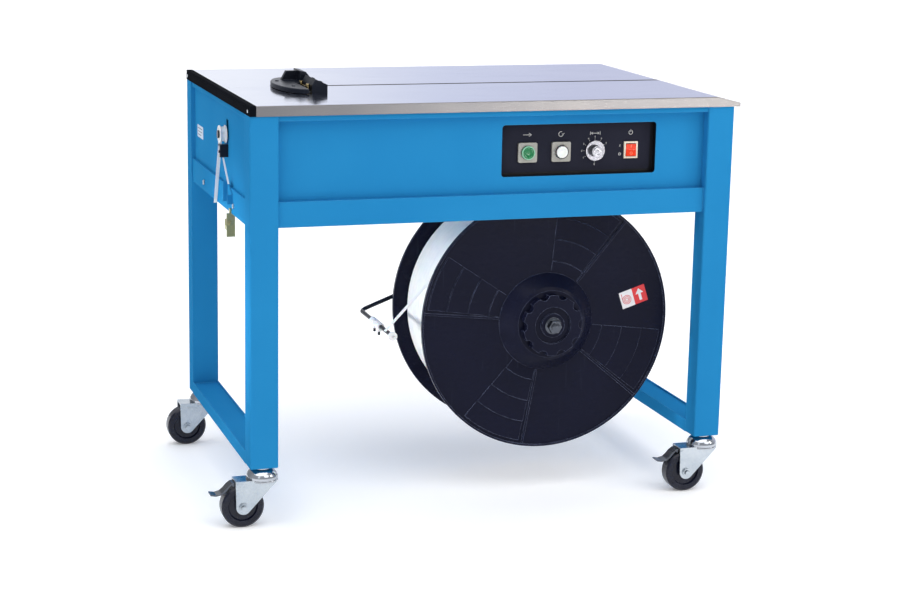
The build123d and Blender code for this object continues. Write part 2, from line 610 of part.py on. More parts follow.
with BuildPart() as button_bezels:
    for button_x in (FEED_X, RESET_X):
        with BuildSketch(Plane.XZ.offset(-CONTROL_FACE_Y + BEZEL_RISE)) as bezel:
            with Locations((button_x, CONTROL_Z)):
                RectangleRounded(BEZEL_SIZE, BEZEL_SIZE, 3)
                Circle(CAP_HOLE, mode=Mode.SUBTRACT)
        extrude(bezel.sketch, amount=-BEZEL_RISE)
        sleeve_y = (CONTROL_FACE_Y + FACE_THICK, CONTROL_FACE_Y + 24)
        bar_y(CAP_HOLE + 3, button_x, CONTROL_Z, sleeve_y)
        bar_y(CAP_HOLE, button_x, CONTROL_Z, past(sleeve_y, 1), Mode.SUBTRACT)
        bar_y(CAP_HOLE + 3, button_x, CONTROL_Z, (CONTROL_FACE_Y + 24, CONTROL_FACE_Y + 27))
save(button_bezels, "button_bezels")


def push_button(button_x):
    """Round push button: a proud cap and the body that slides in the bezel."""
    bar_y(CAP_RADIUS, button_x, CONTROL_Z, (CONTROL_FACE_Y - 10, CONTROL_FACE_Y + 8))
    bar_y(STEM_RADIUS, button_x, CONTROL_Z, (CONTROL_FACE_Y + 8, CONTROL_FACE_Y + 19))


with BuildPart() as feed_button:
    push_button(FEED_X)
    chamfer(feed_button.edges().filter_by(GeomType.CIRCLE).group_by(Axis.Y)[0], 1.0)
save(feed_button, "feed_button")

with BuildPart() as reset_button:
    push_button(RESET_X)
    chamfer(reset_button.edges().filter_by(GeomType.CIRCLE).group_by(Axis.Y)[0], 1.0)
save(reset_button, "reset_button")

with BuildPart() as length_knob:
    bar_y(KNOB_RADIUS, KNOB_X, CONTROL_Z, (CONTROL_FACE_Y - 4, CONTROL_FACE_Y - 0.4))
    bar_y(10.5, KNOB_X, CONTROL_Z, (CONTROL_FACE_Y - 15, CONTROL_FACE_Y - 4))
    bar_y(KNOB_SHAFT, KNOB_X, CONTROL_Z, (CONTROL_FACE_Y - 4, CONTROL_FACE_Y + 12))
    for flute in range(18):
        angle = 2 * math.pi * flute / 18
        flute_x = KNOB_X + 11.2 * math.cos(angle)
        flute_z = CONTROL_Z + 11.2 * math.sin(angle)
        bar_y(1.2, flute_x, flute_z, (CONTROL_FACE_Y - 16, CONTROL_FACE_Y - 4), Mode.SUBTRACT)
    pointer_z = (CONTROL_Z + 2, CONTROL_Z + 12)
    block((KNOB_X - 0.7, KNOB_X + 0.7), (CONTROL_FACE_Y - 16, CONTROL_FACE_Y - 14), pointer_z, Mode.SUBTRACT)
save(length_knob, "length_knob")

with BuildPart() as switch_frame:
    frame_x = (SWITCH_X - SWITCH_SIZE[0] / 2, SWITCH_X + SWITCH_SIZE[0] / 2)
    frame_z = (CONTROL_Z - SWITCH_SIZE[1] / 2, CONTROL_Z + SWITCH_SIZE[1] / 2)
    block(frame_x, (CONTROL_FACE_Y - 4, CONTROL_FACE_Y), frame_z)
    body_x = (SWITCH_X - ROCKER_SIZE[0] / 2 - 0.9, SWITCH_X + ROCKER_SIZE[0] / 2 + 0.9)
    body_z = (CONTROL_Z - ROCKER_SIZE[1] / 2 - 0.9, CONTROL_Z + ROCKER_SIZE[1] / 2 + 0.9)
    block(body_x, (CONTROL_FACE_Y, CONTROL_FACE_Y + 18), body_z)
    well_x = (SWITCH_X - ROCKER_SIZE[0] / 2 - 0.4, SWITCH_X + ROCKER_SIZE[0] / 2 + 0.4)
    well_z = (CONTROL_Z - ROCKER_SIZE[1] / 2 - 0.4, CONTROL_Z + ROCKER_SIZE[1] / 2 + 0.4)
    block(well_x, (CONTROL_FACE_Y - 5, CONTROL_FACE_Y + 15), well_z, Mode.SUBTRACT)
save(switch_frame, "switch_frame")

with BuildPart() as power_rocker:
    half = ROCKER_SIZE[1] / 2 - 0.8
    rocker_outline = [
        (CONTROL_FACE_Y - 6.5, CONTROL_Z - half),
        (CONTROL_FACE_Y - 4.5, CONTROL_Z),
        (CONTROL_FACE_Y - 5.0, CONTROL_Z + half),
        (CONTROL_FACE_Y + 1.0, CONTROL_Z + half),
        (CONTROL_FACE_Y + 9.0, CONTROL_Z),
        (CONTROL_FACE_Y + 1.0, CONTROL_Z - half),
    ]
    rocker_x = (SWITCH_X - ROCKER_SIZE[0] / 2, SWITCH_X + ROCKER_SIZE[0] / 2)
    plate_x(rocker_outline, rocker_x)
    bar_x(ROCKER_PIN, CONTROL_FACE_Y + 2, CONTROL_Z, past(rocker_x, 0.2))
save(power_rocker, "power_rocker")

# ---------------------------------------------------------------- reel

STEP_SECTORS = ((52.0, 85.0), (146.0, 172.0), (228.0, 258.0), (322.0, 353.0))
STEP_RADII = (92.0, 112.0, 152.0, 192.0, 228.0)
STEP_HEIGHT = 2.4
SEAM_ANGLES = (50.0, 174.0, 260.0, 320.0)
SEAM_WIDTH = 4.0
SEAM_HEIGHT = 2.6
RIM_DEPTH = 6.0


def flange(face_y, outward):
    """Moulded reel flange with a turned rim, stepped sectors, and radial seams."""
    front = (face_y, face_y + FLANGE_SHEET) if outward < 0 else (face_y - FLANGE_SHEET, face_y)
    bar_y(REEL_RADIUS, REEL_X, REEL_Z, front)
    steps = [(STEP_RADII[0], face_y - outward), (STEP_RADII[0], face_y)]
    for radius in STEP_RADII[1:]:
        steps += [(radius - 0.8, face_y + outward * STEP_HEIGHT), (radius, face_y)]
    steps.append((STEP_RADII[-1], face_y - outward))
    for first, last in STEP_SECTORS:
        turn = math.radians(first)
        along = (math.cos(turn), 0, math.sin(turn))
        across = (-math.sin(turn), 0, math.cos(turn))
        with BuildSketch(Plane(origin=(REEL_X, 0, REEL_Z), x_dir=along, z_dir=across)) as saw:
            with BuildLine():
                Polyline(*steps, close=True)
            make_face()
        revolve(saw.sketch, axis=Axis((REEL_X, 0, REEL_Z), (0, -1, 0)), revolution_arc=last - first)
    plane = Plane(origin=(REEL_X, face_y, REEL_Z), x_dir=(1, 0, 0), z_dir=(0, outward, 0))
    flip = 1 if outward < 0 else -1
    seam_length = REEL_RADIUS - 2 - STEP_RADII[0]
    seam_middle = STEP_RADII[0] + seam_length / 2
    with BuildSketch(plane) as seams:
        for seam in SEAM_ANGLES:
            turn = math.radians(flip * seam)
            middle = (seam_middle * math.cos(turn), seam_middle * math.sin(turn), 0)
            with Locations(Location(middle, (0, 0, flip * seam))):
                Rectangle(seam_length, SEAM_WIDTH)
    extrude(seams.sketch, amount=SEAM_HEIGHT)
    with BuildSketch(plane) as rim:
        Circle(REEL_RADIUS)
        Circle(REEL_RADIUS - 3.5, mode=Mode.SUBTRACT)
    extrude(rim.sketch, amount=RIM_DEPTH - FLANGE_SHEET)


HUB_BASE = 90.0
HUB_TOP = 62.0
HUB_SHEET = 3.0
HUB_BORE = 24.0
HUB_SEAM = 0.1

with BuildPart() as reel_front_flange:
    flange(REEL_FRONT, -1)
    bar_y(HUB_TOP, REEL_X, REEL_Z, past((REEL_FRONT, REEL_FRONT + FLANGE_SHEET), 1), Mode.SUBTRACT)
    hub_foot = REEL_FRONT - HUB_SEAM
    hub_front = REEL_FRONT - HUB_RISE
    with BuildSketch(Plane(origin=(REEL_X, 0, REEL_Z), x_dir=(1, 0, 0), z_dir=(0, 0, 1))) as cone:
        with BuildLine():
            Polyline(
                (HUB_BORE, hub_front),
                (HUB_TOP, hub_front),
                (HUB_TOP + 6, hub_front + 4),
                (HUB_BASE, hub_foot - 2),
                (HUB_BASE, hub_foot),
                (HUB_TOP, hub_foot),
                (HUB_TOP, hub_front + HUB_SHEET),
                (HUB_BORE, hub_front + HUB_SHEET),
                close=True,
            )
        make_face()
    revolve(cone.sketch, axis=Axis((REEL_X, 0, REEL_Z), (0, 1, 0)))
save(reel_front_flange, "reel_front_flange")

with BuildPart() as reel_rear_flange:
    flange(REEL_REAR, 1)
    bar_y(HUB_BORE, REEL_X, REEL_Z, past((REEL_REAR - FLANGE_SHEET, REEL_REAR), 1), Mode.SUBTRACT)
save(reel_rear_flange, "reel_rear_flange")

DRUM_Y = (REEL_FRONT + FLANGE_SHEET, REEL_REAR - FLANGE_SHEET)
HUB_TUBE_Y = (REEL_FRONT - HUB_RISE, REEL_REAR)
HUB_TUBE_RADIUS = 16.0

with BuildPart() as reel_drum:
    bar_y(DRUM_RADIUS, REEL_X, REEL_Z, DRUM_Y)
    bar_y(DRUM_RADIUS - 3, REEL_X, REEL_Z, past(DRUM_Y, 1), Mode.SUBTRACT)
    for web_y in (DRUM_Y[0] + 12, DRUM_Y[1] - 15):
        bar_y(DRUM_RADIUS - 2, REEL_X, REEL_Z, (web_y, web_y + 3))
    bar_y(HUB_TUBE_RADIUS, REEL_X, REEL_Z, HUB_TUBE_Y)
    bar_y(AXLE_RADIUS + RUNNING_FIT, REEL_X, REEL_Z, past(HUB_TUBE_Y, 1), Mode.SUBTRACT)
save(reel_drum, "reel_drum")

with BuildPart() as strap_coil:
    coil_y = inside(DRUM_Y, 1)
    bar_y(COIL_RADIUS, REEL_X, REEL_Z, coil_y)
    bar_y(DRUM_RADIUS + 0.2, REEL_X, REEL_Z, past(coil_y, 1), Mode.SUBTRACT)
    chamfer(strap_coil.edges().filter_by(GeomType.CIRCLE).sort_by(SortBy.RADIUS)[-2:], 4)
save(strap_coil, "strap_coil")

LOBES = 10
HANDWHEEL_Y = (REEL_FRONT - HUB_RISE - HANDWHEEL_DEPTH, REEL_FRONT - HUB_RISE)

with BuildPart() as reel_handwheel:
    bar_y(HANDWHEEL_RADIUS, REEL_X, REEL_Z, HANDWHEEL_Y)
    wheel_face = (REEL_X, HANDWHEEL_Y[0] - 1, REEL_Z)
    with BuildSketch(Plane(origin=wheel_face, x_dir=(1, 0, 0), z_dir=(0, -1, 0))) as notches:
        with PolarLocations(HANDWHEEL_RADIUS + 2, LOBES):
            Circle(9)
    extrude(notches.sketch, amount=-(HANDWHEEL_DEPTH + 2), mode=Mode.SUBTRACT)
    bar_y(34, REEL_X, REEL_Z, (HANDWHEEL_Y[0] - 1, HANDWHEEL_Y[0] + 5), Mode.SUBTRACT)
    bar_y(22, REEL_X, REEL_Z, (HANDWHEEL_Y[0], HANDWHEEL_Y[0] + 6))
    bar_y(AXLE_RADIUS + RUNNING_FIT, REEL_X, REEL_Z, past(HANDWHEEL_Y, 1), Mode.SUBTRACT)
save(reel_handwheel, "reel_handwheel")

BEAM_Y = (16.0, 56.0)
BEAM_Z = (530.0, 560.0)
HANGER_Y = (22.0, 28.0)
PIN_RADIUS = 5.0
ARM_BOSS_Y = (ARM_Y - 6, ARM_Y + 6)

with BuildPart() as reel_hanger:
    tube_x(TRAY_X, BEAM_Y, BEAM_Z, 2.5)
    with BuildSketch(Plane.XZ.offset(-HANGER_Y[0])) as hanger_plate:
        with Locations((REEL_X, REEL_Z)):
            Circle(30)
        with Locations(ARM_PIVOT):
            Circle(18)
        with Locations((REEL_X - 5, BEAM_Z[0] + 3)):
            Rectangle(130, 6)
        make_hull()
    extrude(hanger_plate.sketch, amount=-(HANGER_Y[1] - HANGER_Y[0]))
    bar_y(AXLE_RADIUS, REEL_X, REEL_Z, (AXLE_TIP_Y, HANGER_Y[0]))
    bar_y(15, REEL_X, REEL_Z, (REEL_REAR + 0.6, HANGER_Y[0]))
    nut_y = (AXLE_TIP_Y + 4, HANDWHEEL_Y[0] - 0.6)
    with BuildSketch(Plane.XZ.offset(-nut_y[0])) as axle_nut:
        with Locations((REEL_X, REEL_Z)):
            RegularPolygon(12.5, 6)
    extrude(axle_nut.sketch, amount=-(nut_y[1] - nut_y[0]))
    bar_y(PIN_RADIUS, *ARM_PIVOT, (ARM_BOSS_Y[0] - 3, HANGER_Y[0]))
    bar_y(PIN_RADIUS + 3, *ARM_PIVOT, (ARM_BOSS_Y[0] - 3.4, ARM_BOSS_Y[0] - 0.4))
    bar_y(PIN_RADIUS + 3, *ARM_PIVOT, (ARM_BOSS_Y[1] + 0.4, HANGER_Y[0]))
save(reel_hanger, "reel_hanger")

# ---------------------------------------------------------------- brake and guide arm

ARM_BEND = 12.0
FINGERS_Y = (-84.0, -114.0)
FINGER_RADIUS = 2.4
FINGER_LENGTH = 18.0
WEDGE_HEIGHT = 11.0
WEDGE_THICK = 8.0
COLLAR_RADIUS = 6.5
COLLAR_HALF = 14.0

with BuildPart() as brake_arm:
    pivot = Vector(ARM_PIVOT[0], ARM_Y, ARM_PIVOT[1])
    corner = Vector(ARM_CORNER[0], ARM_Y, ARM_CORNER[1])
    tip = Vector(ARM_CORNER[0], ARM_TIP_Y, ARM_CORNER[1])
    with BuildLine() as arm_line:
        FilletPolyline(pivot, corner, tip, radius=ARM_BEND)
    with BuildSketch(Plane(origin=pivot, z_dir=corner - pivot)) as arm_section:
        Circle(ARM_ROD)
    sweep(arm_section.sketch, path=arm_line.wire())
    bar_y(11, *ARM_PIVOT, ARM_BOSS_Y)
    bar_y(PIN_RADIUS + RUNNING_FIT, *ARM_PIVOT, past(ARM_BOSS_Y, 1), Mode.SUBTRACT)
    for finger_y in FINGERS_Y:
        bar_z(FINGER_RADIUS, ARM_CORNER[0], finger_y, (ARM_CORNER[1] - FINGER_LENGTH, ARM_CORNER[1]))
save(brake_arm, "brake_arm")

with BuildPart() as arm_guides:
    for finger_y in FINGERS_Y:
        collar_y = (finger_y - COLLAR_HALF, finger_y + COLLAR_HALF)
        wedge_foot = ARM_CORNER[1] - WEDGE_HEIGHT
        wedge = [
            (collar_y[0], ARM_CORNER[1]),
            (collar_y[1], ARM_CORNER[1]),
            (finger_y + 6, wedge_foot),
            (finger_y - 5, wedge_foot),
        ]
        bar_y(COLLAR_RADIUS, *ARM_CORNER, collar_y)
        plate_x(wedge, (ARM_CORNER[0] - WEDGE_THICK / 2, ARM_CORNER[0] + WEDGE_THICK / 2))
        bar_y(ARM_ROD, *ARM_CORNER, past(collar_y, 1), Mode.SUBTRACT)
        bar_z(FINGER_RADIUS, ARM_CORNER[0], finger_y, (wedge_foot - 1, ARM_CORNER[1]), Mode.SUBTRACT)
    with BuildSketch(Plane.XZ.offset(-ARM_TIP_Y)) as eyelet:
        with Locations(ARM_CORNER):
            Circle(8)
    extrude(eyelet.sketch, amount=5)
    bar_y(3, *ARM_CORNER, (ARM_TIP_Y - 6, ARM_TIP_Y - 2), Mode.SUBTRACT)
save(arm_guides, "arm_guides")

STRAP_LEAVES = math.radians(152)
STRAP_START = Vector(
    REEL_X + (COIL_RADIUS + 1) * math.cos(STRAP_LEAVES),
    -150,
    REEL_Z + (COIL_RADIUS + 1) * math.sin(STRAP_LEAVES),
)
STRAP_END = Vector(ARM_CORNER[0] - 5, -170, ARM_CORNER[1] + 2)

with BuildPart() as reel_strap:
    strap_run = STRAP_END - STRAP_START
    with BuildSketch(Plane(origin=STRAP_START, x_dir=(0, 1, 0), z_dir=strap_run)) as strap_end:
        Rectangle(STRAP_WIDTH, STRAP_THICK)
    extrude(strap_end.sketch, amount=strap_run.length)
save(reel_strap, "reel_strap")

# ---------------------------------------------------------------- strap guides on the left side

RAIL_FACE_X = LEFT_LEG_X[0] + SIDE_RAIL_SETBACK
AXLE_BOLT = 4.0

with BuildPart() as side_roller:
    bar_x(ROLLER_RADIUS, ROLLER_Y, ROLLER_Z, ROLLER_X)
    with BuildSketch(Plane(origin=(0, ROLLER_Y, ROLLER_Z), x_dir=(1, 0, 0), z_dir=(0, 0, 1))) as valley:
        with BuildLine():
            mid_x = sum(ROLLER_X) / 2
            Polyline(
                (mid_x - 4.5, ROLLER_RADIUS + 1),
                (mid_x - 4.5, ROLLER_RADIUS - 0.5),
                (mid_x - 3.5, ROLLER_RADIUS - 3.5),
                (mid_x + 3.5, ROLLER_RADIUS - 3.5),
                (mid_x + 4.5, ROLLER_RADIUS - 0.5),
                (mid_x + 4.5, ROLLER_RADIUS + 1),
                close=True,
            )
        make_face()
    revolve(valley.sketch, axis=Axis((0, ROLLER_Y, ROLLER_Z), (1, 0, 0)), mode=Mode.SUBTRACT)
    bar_x(AXLE_BOLT + RUNNING_FIT, ROLLER_Y, ROLLER_Z, past(ROLLER_X, 1), Mode.SUBTRACT)
save(side_roller, "side_roller")

GUIDE_TOP_Z = ROLLER_Z - ROLLER_RADIUS - 2

with BuildPart() as roller_bracket:
    bar_x(AXLE_BOLT, ROLLER_Y, ROLLER_Z, (ROLLER_X[0] - 2.5, LEFT_PANEL_X))
    bar_x(AXLE_BOLT + 3, ROLLER_Y, ROLLER_Z, (ROLLER_X[0] - 2.9, ROLLER_X[0] - 0.4))
    bar_x(AXLE_BOLT + 3, ROLLER_Y, ROLLER_Z, (ROLLER_X[1] + 0.4, LEFT_PANEL_X))
    lug_x = LEFT_PANEL_X - 15
    block((lug_x, LEFT_PANEL_X), (ROLLER_Y - 8, ROLLER_Y + 8), (GUIDE_TOP_Z - 22, GUIDE_TOP_Z))
    notch_x = (lug_x - 1, LEFT_PANEL_X - 2)
    block(notch_x, (ROLLER_Y - 3, ROLLER_Y + 9), (GUIDE_TOP_Z - 23, GUIDE_TOP_Z - 3), Mode.SUBTRACT)
    bar_x(2.5, ROLLER_Y - 5.5, GUIDE_TOP_Z - 12, (lug_x - 2, lug_x))
save(roller_bracket, "roller_bracket")

GUIDE_Y = (-128.0, -92.0)
GUIDE_Z = (544.0, 580.0)
GUIDE_LIP = 10.0

with BuildPart() as side_strap_guide:
    gusset = [
        (GUIDE_Y[1], GUIDE_Z[1]),
        (GUIDE_Y[1] - 6, GUIDE_Z[1]),
        (GUIDE_Y[0], GUIDE_Z[1] - 20),
        (GUIDE_Y[0], GUIDE_Z[0]),
        (GUIDE_Y[1], GUIDE_Z[0]),
    ]
    plate_x(gusset, (RAIL_FACE_X - SHEET, RAIL_FACE_X))
    lip_x = (RAIL_FACE_X - GUIDE_LIP, RAIL_FACE_X)
    block(lip_x, (GUIDE_Y[0], GUIDE_Y[0] + SHEET), (GUIDE_Z[0], GUIDE_Z[1] - 20))
    block(lip_x, (GUIDE_Y[1] - SHEET, GUIDE_Y[1]), GUIDE_Z)
save(side_strap_guide, "side_strap_guide")

BRACKET_X = (RAIL_FACE_X - 8.5, RAIL_FACE_X + 6.5)
BRACKET_Y = (-117.0, -114.0)
BRACKET_Z = (484.0, 526.0)
BRACKET_TAB_Y = (BRACKET_Y[0], BRACKET_Y[1] + 6)
BRACKET_BOLT = (RAIL_FACE_X - 1, BRACKET_Z[0] + 24)

with BuildPart() as lower_guide_bracket:
    block((RAIL_FACE_X - 3, RAIL_FACE_X), BRACKET_TAB_Y, (BRACKET_Z[0], LOWER_RAIL_Z[0] + 8))
    block(BRACKET_X, BRACKET_Y, BRACKET_Z)
    bar_y(5.5, *BRACKET_BOLT, (BRACKET_Y[0] - 2.5, BRACKET_Y[0]))
    bar_y(3.4, *BRACKET_BOLT, (BRACKET_Y[0] - 6, BRACKET_Y[1] + 1))
    hook_x = (RAIL_FACE_X, RAIL_FACE_X + 5)
    hook_end = BRACKET_Y[1] + 56
    hook_foot = BRACKET_Z[0] + 4
    block(hook_x, (BRACKET_Y[1], hook_end), (hook_foot, hook_foot + 6))
    block(hook_x, (hook_end - 5, hook_end), (hook_foot, hook_foot + 18))
save(lower_guide_bracket, "lower_guide_bracket")

SIDE_STRAP_FALL = math.radians(69)
SIDE_STRAP_LENGTH = 148.0
STRAND_X = (-416.0, -413.0)
STRAND_TOP = (-66.0, 616.6)
STRAND_FOOT = (-112.0, 577.0)
STRAND_RISE = 0.9

with BuildPart() as side_strap:
    roller_centre = Vector(ROLLER_Y, ROLLER_Z)
    wrap_radius = ROLLER_RADIUS - 3.5 + STRAP_THICK
    along_strap = Vector(math.cos(SIDE_STRAP_FALL), -math.sin(SIDE_STRAP_FALL))
    off_strap = Vector(math.sin(SIDE_STRAP_FALL), math.cos(SIDE_STRAP_FALL))
    strap_side_x = sum(ROLLER_X) / 2 - STRAP_WIDTH / 4
    with BuildSketch(Plane.YZ.offset(strap_side_x)) as strap_side:
        with BuildLine():
            turn = -math.degrees(SIDE_STRAP_FALL)
            outer_wrap = CenterArc(roller_centre, wrap_radius + STRAP_THICK / 2, 90, turn)
            inner_wrap = CenterArc(roller_centre, wrap_radius - STRAP_THICK / 2, 90, turn)
            far_corner = (outer_wrap @ 1) + along_strap * SIDE_STRAP_LENGTH
            Line(outer_wrap @ 0, inner_wrap @ 0)
            Line(outer_wrap @ 1, far_corner)
            Line(far_corner, far_corner - off_strap * STRAP_THICK)
            Line(far_corner - off_strap * STRAP_THICK, inner_wrap @ 1)
        make_face()
    extrude(strap_side.sketch, amount=STRAP_WIDTH / 2)
    strand_side = [
        STRAND_TOP,
        STRAND_FOOT,
        (STRAND_FOOT[0], STRAND_FOOT[1] + STRAND_RISE),
        (STRAND_TOP[0], STRAND_TOP[1] + STRAND_RISE),
    ]
    plate_x(strand_side, STRAND_X)
save(side_strap, "side_strap")

with BuildPart() as cable_gland:
    gland_y = -PANEL_FRONT_Y
    bar_y(8, GLAND_X, GLAND_Z, (gland_y - SHEET - 6, gland_y))
    with BuildSketch(Plane.XZ.offset(-gland_y)) as gland_nut:
        with Locations((GLAND_X, GLAND_Z)):
            RegularPolygon(12, 6)
    extrude(gland_nut.sketch, amount=-6)
    bar_y(9, GLAND_X, GLAND_Z, (gland_y + 6, gland_y + 14))
    bar_y(3.6, GLAND_X, GLAND_Z, (gland_y - SHEET - 7, gland_y + 15), Mode.SUBTRACT)
save(cable_gland, "cable_gland")

# ---------------------------------------------------------------- casters

CAP_DOME_Z = (CASTER_CAP_Z, LEG_BOTTOM)
FORK_PLATE_GAP = 30.5
FORK_PLATE = 2.5
FORK_TOP = CASTER_CAP_Z - 0.6
AXLE_BOLT_RADIUS = 4.0
PEDAL_PIVOT = (-46.0, 78.4)
PEDAL_PIN = 1.6
PEDAL_BOSS = 3.0
CROWN_X = (-50.0, 22.0)
PEDAL_BLADE = (
    (-46, 81.2),
    (-55, 80.4),
    (-62, 75.5),
    (-68, 68.4),
    (-74, 63.6),
    (-83, 61.4),
    (-93, 63.0),
    (-93, 60.6),
    (-83, 58.8),
    (-73, 60.8),
    (-66.2, 66.2),
    (-60.4, 73.0),
    (-56, 77.4),
    (-52.6, 73.6),
    (-49.6, 74.4),
    (-46, 75.8),
)

with BuildPart() as caster_caps:
    for spot_x, spot_y in CASTER_SPOTS.values():
        with BuildSketch(Plane(origin=(spot_x, spot_y, 0), x_dir=(1, 0, 0), z_dir=(0, -1, 0))) as dome:
            with BuildLine():
                Polyline(
                    (0, CAP_DOME_Z[0]),
                    (CASTER_CAP_RADIUS, CAP_DOME_Z[0]),
                    (CASTER_CAP_RADIUS, CAP_DOME_Z[0] + 4),
                )
                ThreePointArc(
                    (CASTER_CAP_RADIUS, CAP_DOME_Z[0] + 4),
                    (CASTER_CAP_RADIUS - 4, CAP_DOME_Z[0] + 12),
                    (14, CAP_DOME_Z[1] - 3),
                )
                Polyline((14, CAP_DOME_Z[1] - 3), (14, CAP_DOME_Z[1]), (0, CAP_DOME_Z[1]), (0, CAP_DOME_Z[0]))
            make_face()
        revolve(dome.sketch, axis=Axis((spot_x, spot_y, 0), (0, 0, 1)))
save(caster_caps, "caster_caps")


def fork(spot_x, spot_y, with_pedal_pin):
    """Pressed U-shaped caster fork: a flat crown under the cap, two side plates and the axle bolt."""
    axle_x = spot_x - CASTER_TRAIL
    crown_x = (spot_x + CROWN_X[0], spot_x + CROWN_X[1])
    outer = FORK_PLATE_GAP / 2 + FORK_PLATE
    block(crown_x, (spot_y - outer, spot_y + outer), (FORK_TOP - FORK_PLATE, FORK_TOP))
    bar_z(24, spot_x, spot_y, (FORK_TOP - 4, FORK_TOP))
    for side in (-1, 1):
        plate_limits = sorted((spot_y + side * (outer - FORK_PLATE), spot_y + side * outer))
        with BuildSketch(Plane.XZ.offset(-plate_limits[0])) as cheek:
            with Locations((axle_x, CASTER_WHEEL_RADIUS)):
                Circle(13)
            with Locations((sum(crown_x) / 2, FORK_TOP - 2)):
                Rectangle(crown_x[1] - crown_x[0], 4)
            make_hull()
        extrude(cheek.sketch, amount=-FORK_PLATE)
        bolt_head = sorted((spot_y + side * outer, spot_y + side * (outer + 4)))
        bar_y(7.5, axle_x, CASTER_WHEEL_RADIUS, bolt_head)
    bar_y(AXLE_BOLT_RADIUS, axle_x, CASTER_WHEEL_RADIUS, (spot_y - outer - 1, spot_y + outer + 1))
    if with_pedal_pin:
        pin_y = (spot_y - outer - 1.5, spot_y + outer + 1.5)
        bar_y(PEDAL_PIN, spot_x + PEDAL_PIVOT[0], PEDAL_PIVOT[1], pin_y)


def caster_wheel(spot_x, spot_y):
    """Solid caster wheel with a dished face, bored for the axle bolt."""
    axle_x = spot_x - CASTER_TRAIL
    half = CASTER_WHEEL_WIDTH / 2
    axle = (axle_x, spot_y, CASTER_WHEEL_RADIUS)
    with BuildSketch(Plane(origin=axle, x_dir=(0, 1, 0), z_dir=(1, 0, 0))) as section:
        with BuildLine():
            Polyline(
                (-half - 1.5, AXLE_BOLT_RADIUS + RUNNING_FIT),
                (-half - 1.5, 11),
                (-half + 4, 13),
                (-half + 4, 24),
                (-half, 26),
                (-half, CASTER_WHEEL_RADIUS - 3),
                (-half + 3, CASTER_WHEEL_RADIUS),
                (half - 3, CASTER_WHEEL_RADIUS),
                (half, CASTER_WHEEL_RADIUS - 3),
                (half, 26),
                (half - 4, 24),
                (half - 4, 13),
                (half + 1.5, 11),
                (half + 1.5, AXLE_BOLT_RADIUS + RUNNING_FIT),
                close=True,
            )
        make_face()
    revolve(section.sketch, axis=Axis((axle_x, spot_y, CASTER_WHEEL_RADIUS), (0, 1, 0)))


def brake_pedal(spot_x, spot_y):
    """Curved foot blade whose heel presses on the wheel when the blade is pushed down."""
    pivot = (spot_x + PEDAL_PIVOT[0], PEDAL_PIVOT[1])
    blade = [(spot_x + x, z) for x, z in PEDAL_BLADE]
    bar_y(PEDAL_BOSS, *pivot, (spot_y - 14.5, spot_y + 14.5))
    plate_y(blade, (spot_y - 11, spot_y + 11))
    bar_y(PEDAL_PIN + RUNNING_FIT, *pivot, (spot_y - 16, spot_y + 16), Mode.SUBTRACT)


for corner_name, spot in CASTER_SPOTS.items():
    is_front = corner_name.startswith("front")
    with BuildPart() as caster_fork:
        fork(*spot, is_front)
    save(caster_fork, f"caster_fork_{corner_name}")
    with BuildPart() as wheel:
        caster_wheel(*spot)
    save(wheel, f"caster_wheel_{corner_name}")
    if is_front:
        with BuildPart() as pedal:
            brake_pedal(*spot)
        save(pedal, f"brake_pedal_{corner_name}")
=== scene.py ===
import json
import math
import random

import bmesh
import bpy
from mathutils import Euler, Matrix, Vector, noise

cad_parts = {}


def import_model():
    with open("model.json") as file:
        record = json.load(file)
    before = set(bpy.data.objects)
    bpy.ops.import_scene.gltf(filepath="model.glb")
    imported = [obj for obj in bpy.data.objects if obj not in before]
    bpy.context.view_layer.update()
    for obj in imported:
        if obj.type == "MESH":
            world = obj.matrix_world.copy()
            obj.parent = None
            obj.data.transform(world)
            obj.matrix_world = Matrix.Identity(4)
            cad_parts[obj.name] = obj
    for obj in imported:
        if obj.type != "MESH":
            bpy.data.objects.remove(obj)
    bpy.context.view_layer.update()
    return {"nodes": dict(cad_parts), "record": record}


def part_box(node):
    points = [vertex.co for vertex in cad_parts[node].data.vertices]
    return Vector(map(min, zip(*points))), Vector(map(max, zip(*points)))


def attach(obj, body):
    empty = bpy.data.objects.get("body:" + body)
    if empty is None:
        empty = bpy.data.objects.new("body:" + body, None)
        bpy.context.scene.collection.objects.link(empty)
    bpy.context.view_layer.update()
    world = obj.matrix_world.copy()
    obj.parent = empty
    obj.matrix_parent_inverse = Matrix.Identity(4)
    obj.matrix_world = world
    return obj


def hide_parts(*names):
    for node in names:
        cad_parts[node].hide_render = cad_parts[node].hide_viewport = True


# Looks for a semi automatic strapping machine: procedural finishes for every CAD node, a wound
# strap coil, printed symbols, labels, bolts and welds, on a pale floor in soft studio light.
# Metres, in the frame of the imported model.

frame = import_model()
random.seed(7)

MM = 0.001
X, Y, Z = Vector((1, 0, 0)), Vector((0, 1, 0)), Vector((0, 0, 1))
WAVE_RATE = 20 / (2 * math.pi)  # waves that a Wave Texture of scale 1 draws over one metre


def middle(node_name):
    """Middle of a node's box."""
    low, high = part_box(node_name)
    return (low + high) / 2


# ---------------------------------------------------------------- finishes


def srgb(red, green, blue):
    """Linear colour of an 8-bit sRGB colour."""
    linear = []
    for byte in (red, green, blue):
        share = byte / 255
        linear.append(share / 12.92 if byte < 11 else ((share + 0.055) / 1.055) ** 2.4)
    return (*linear, 1.0)


def toned(colour, factor):
    """A colour made darker or lighter."""
    return (*[min(1.0, c * factor) for c in colour[:3]], 1.0)


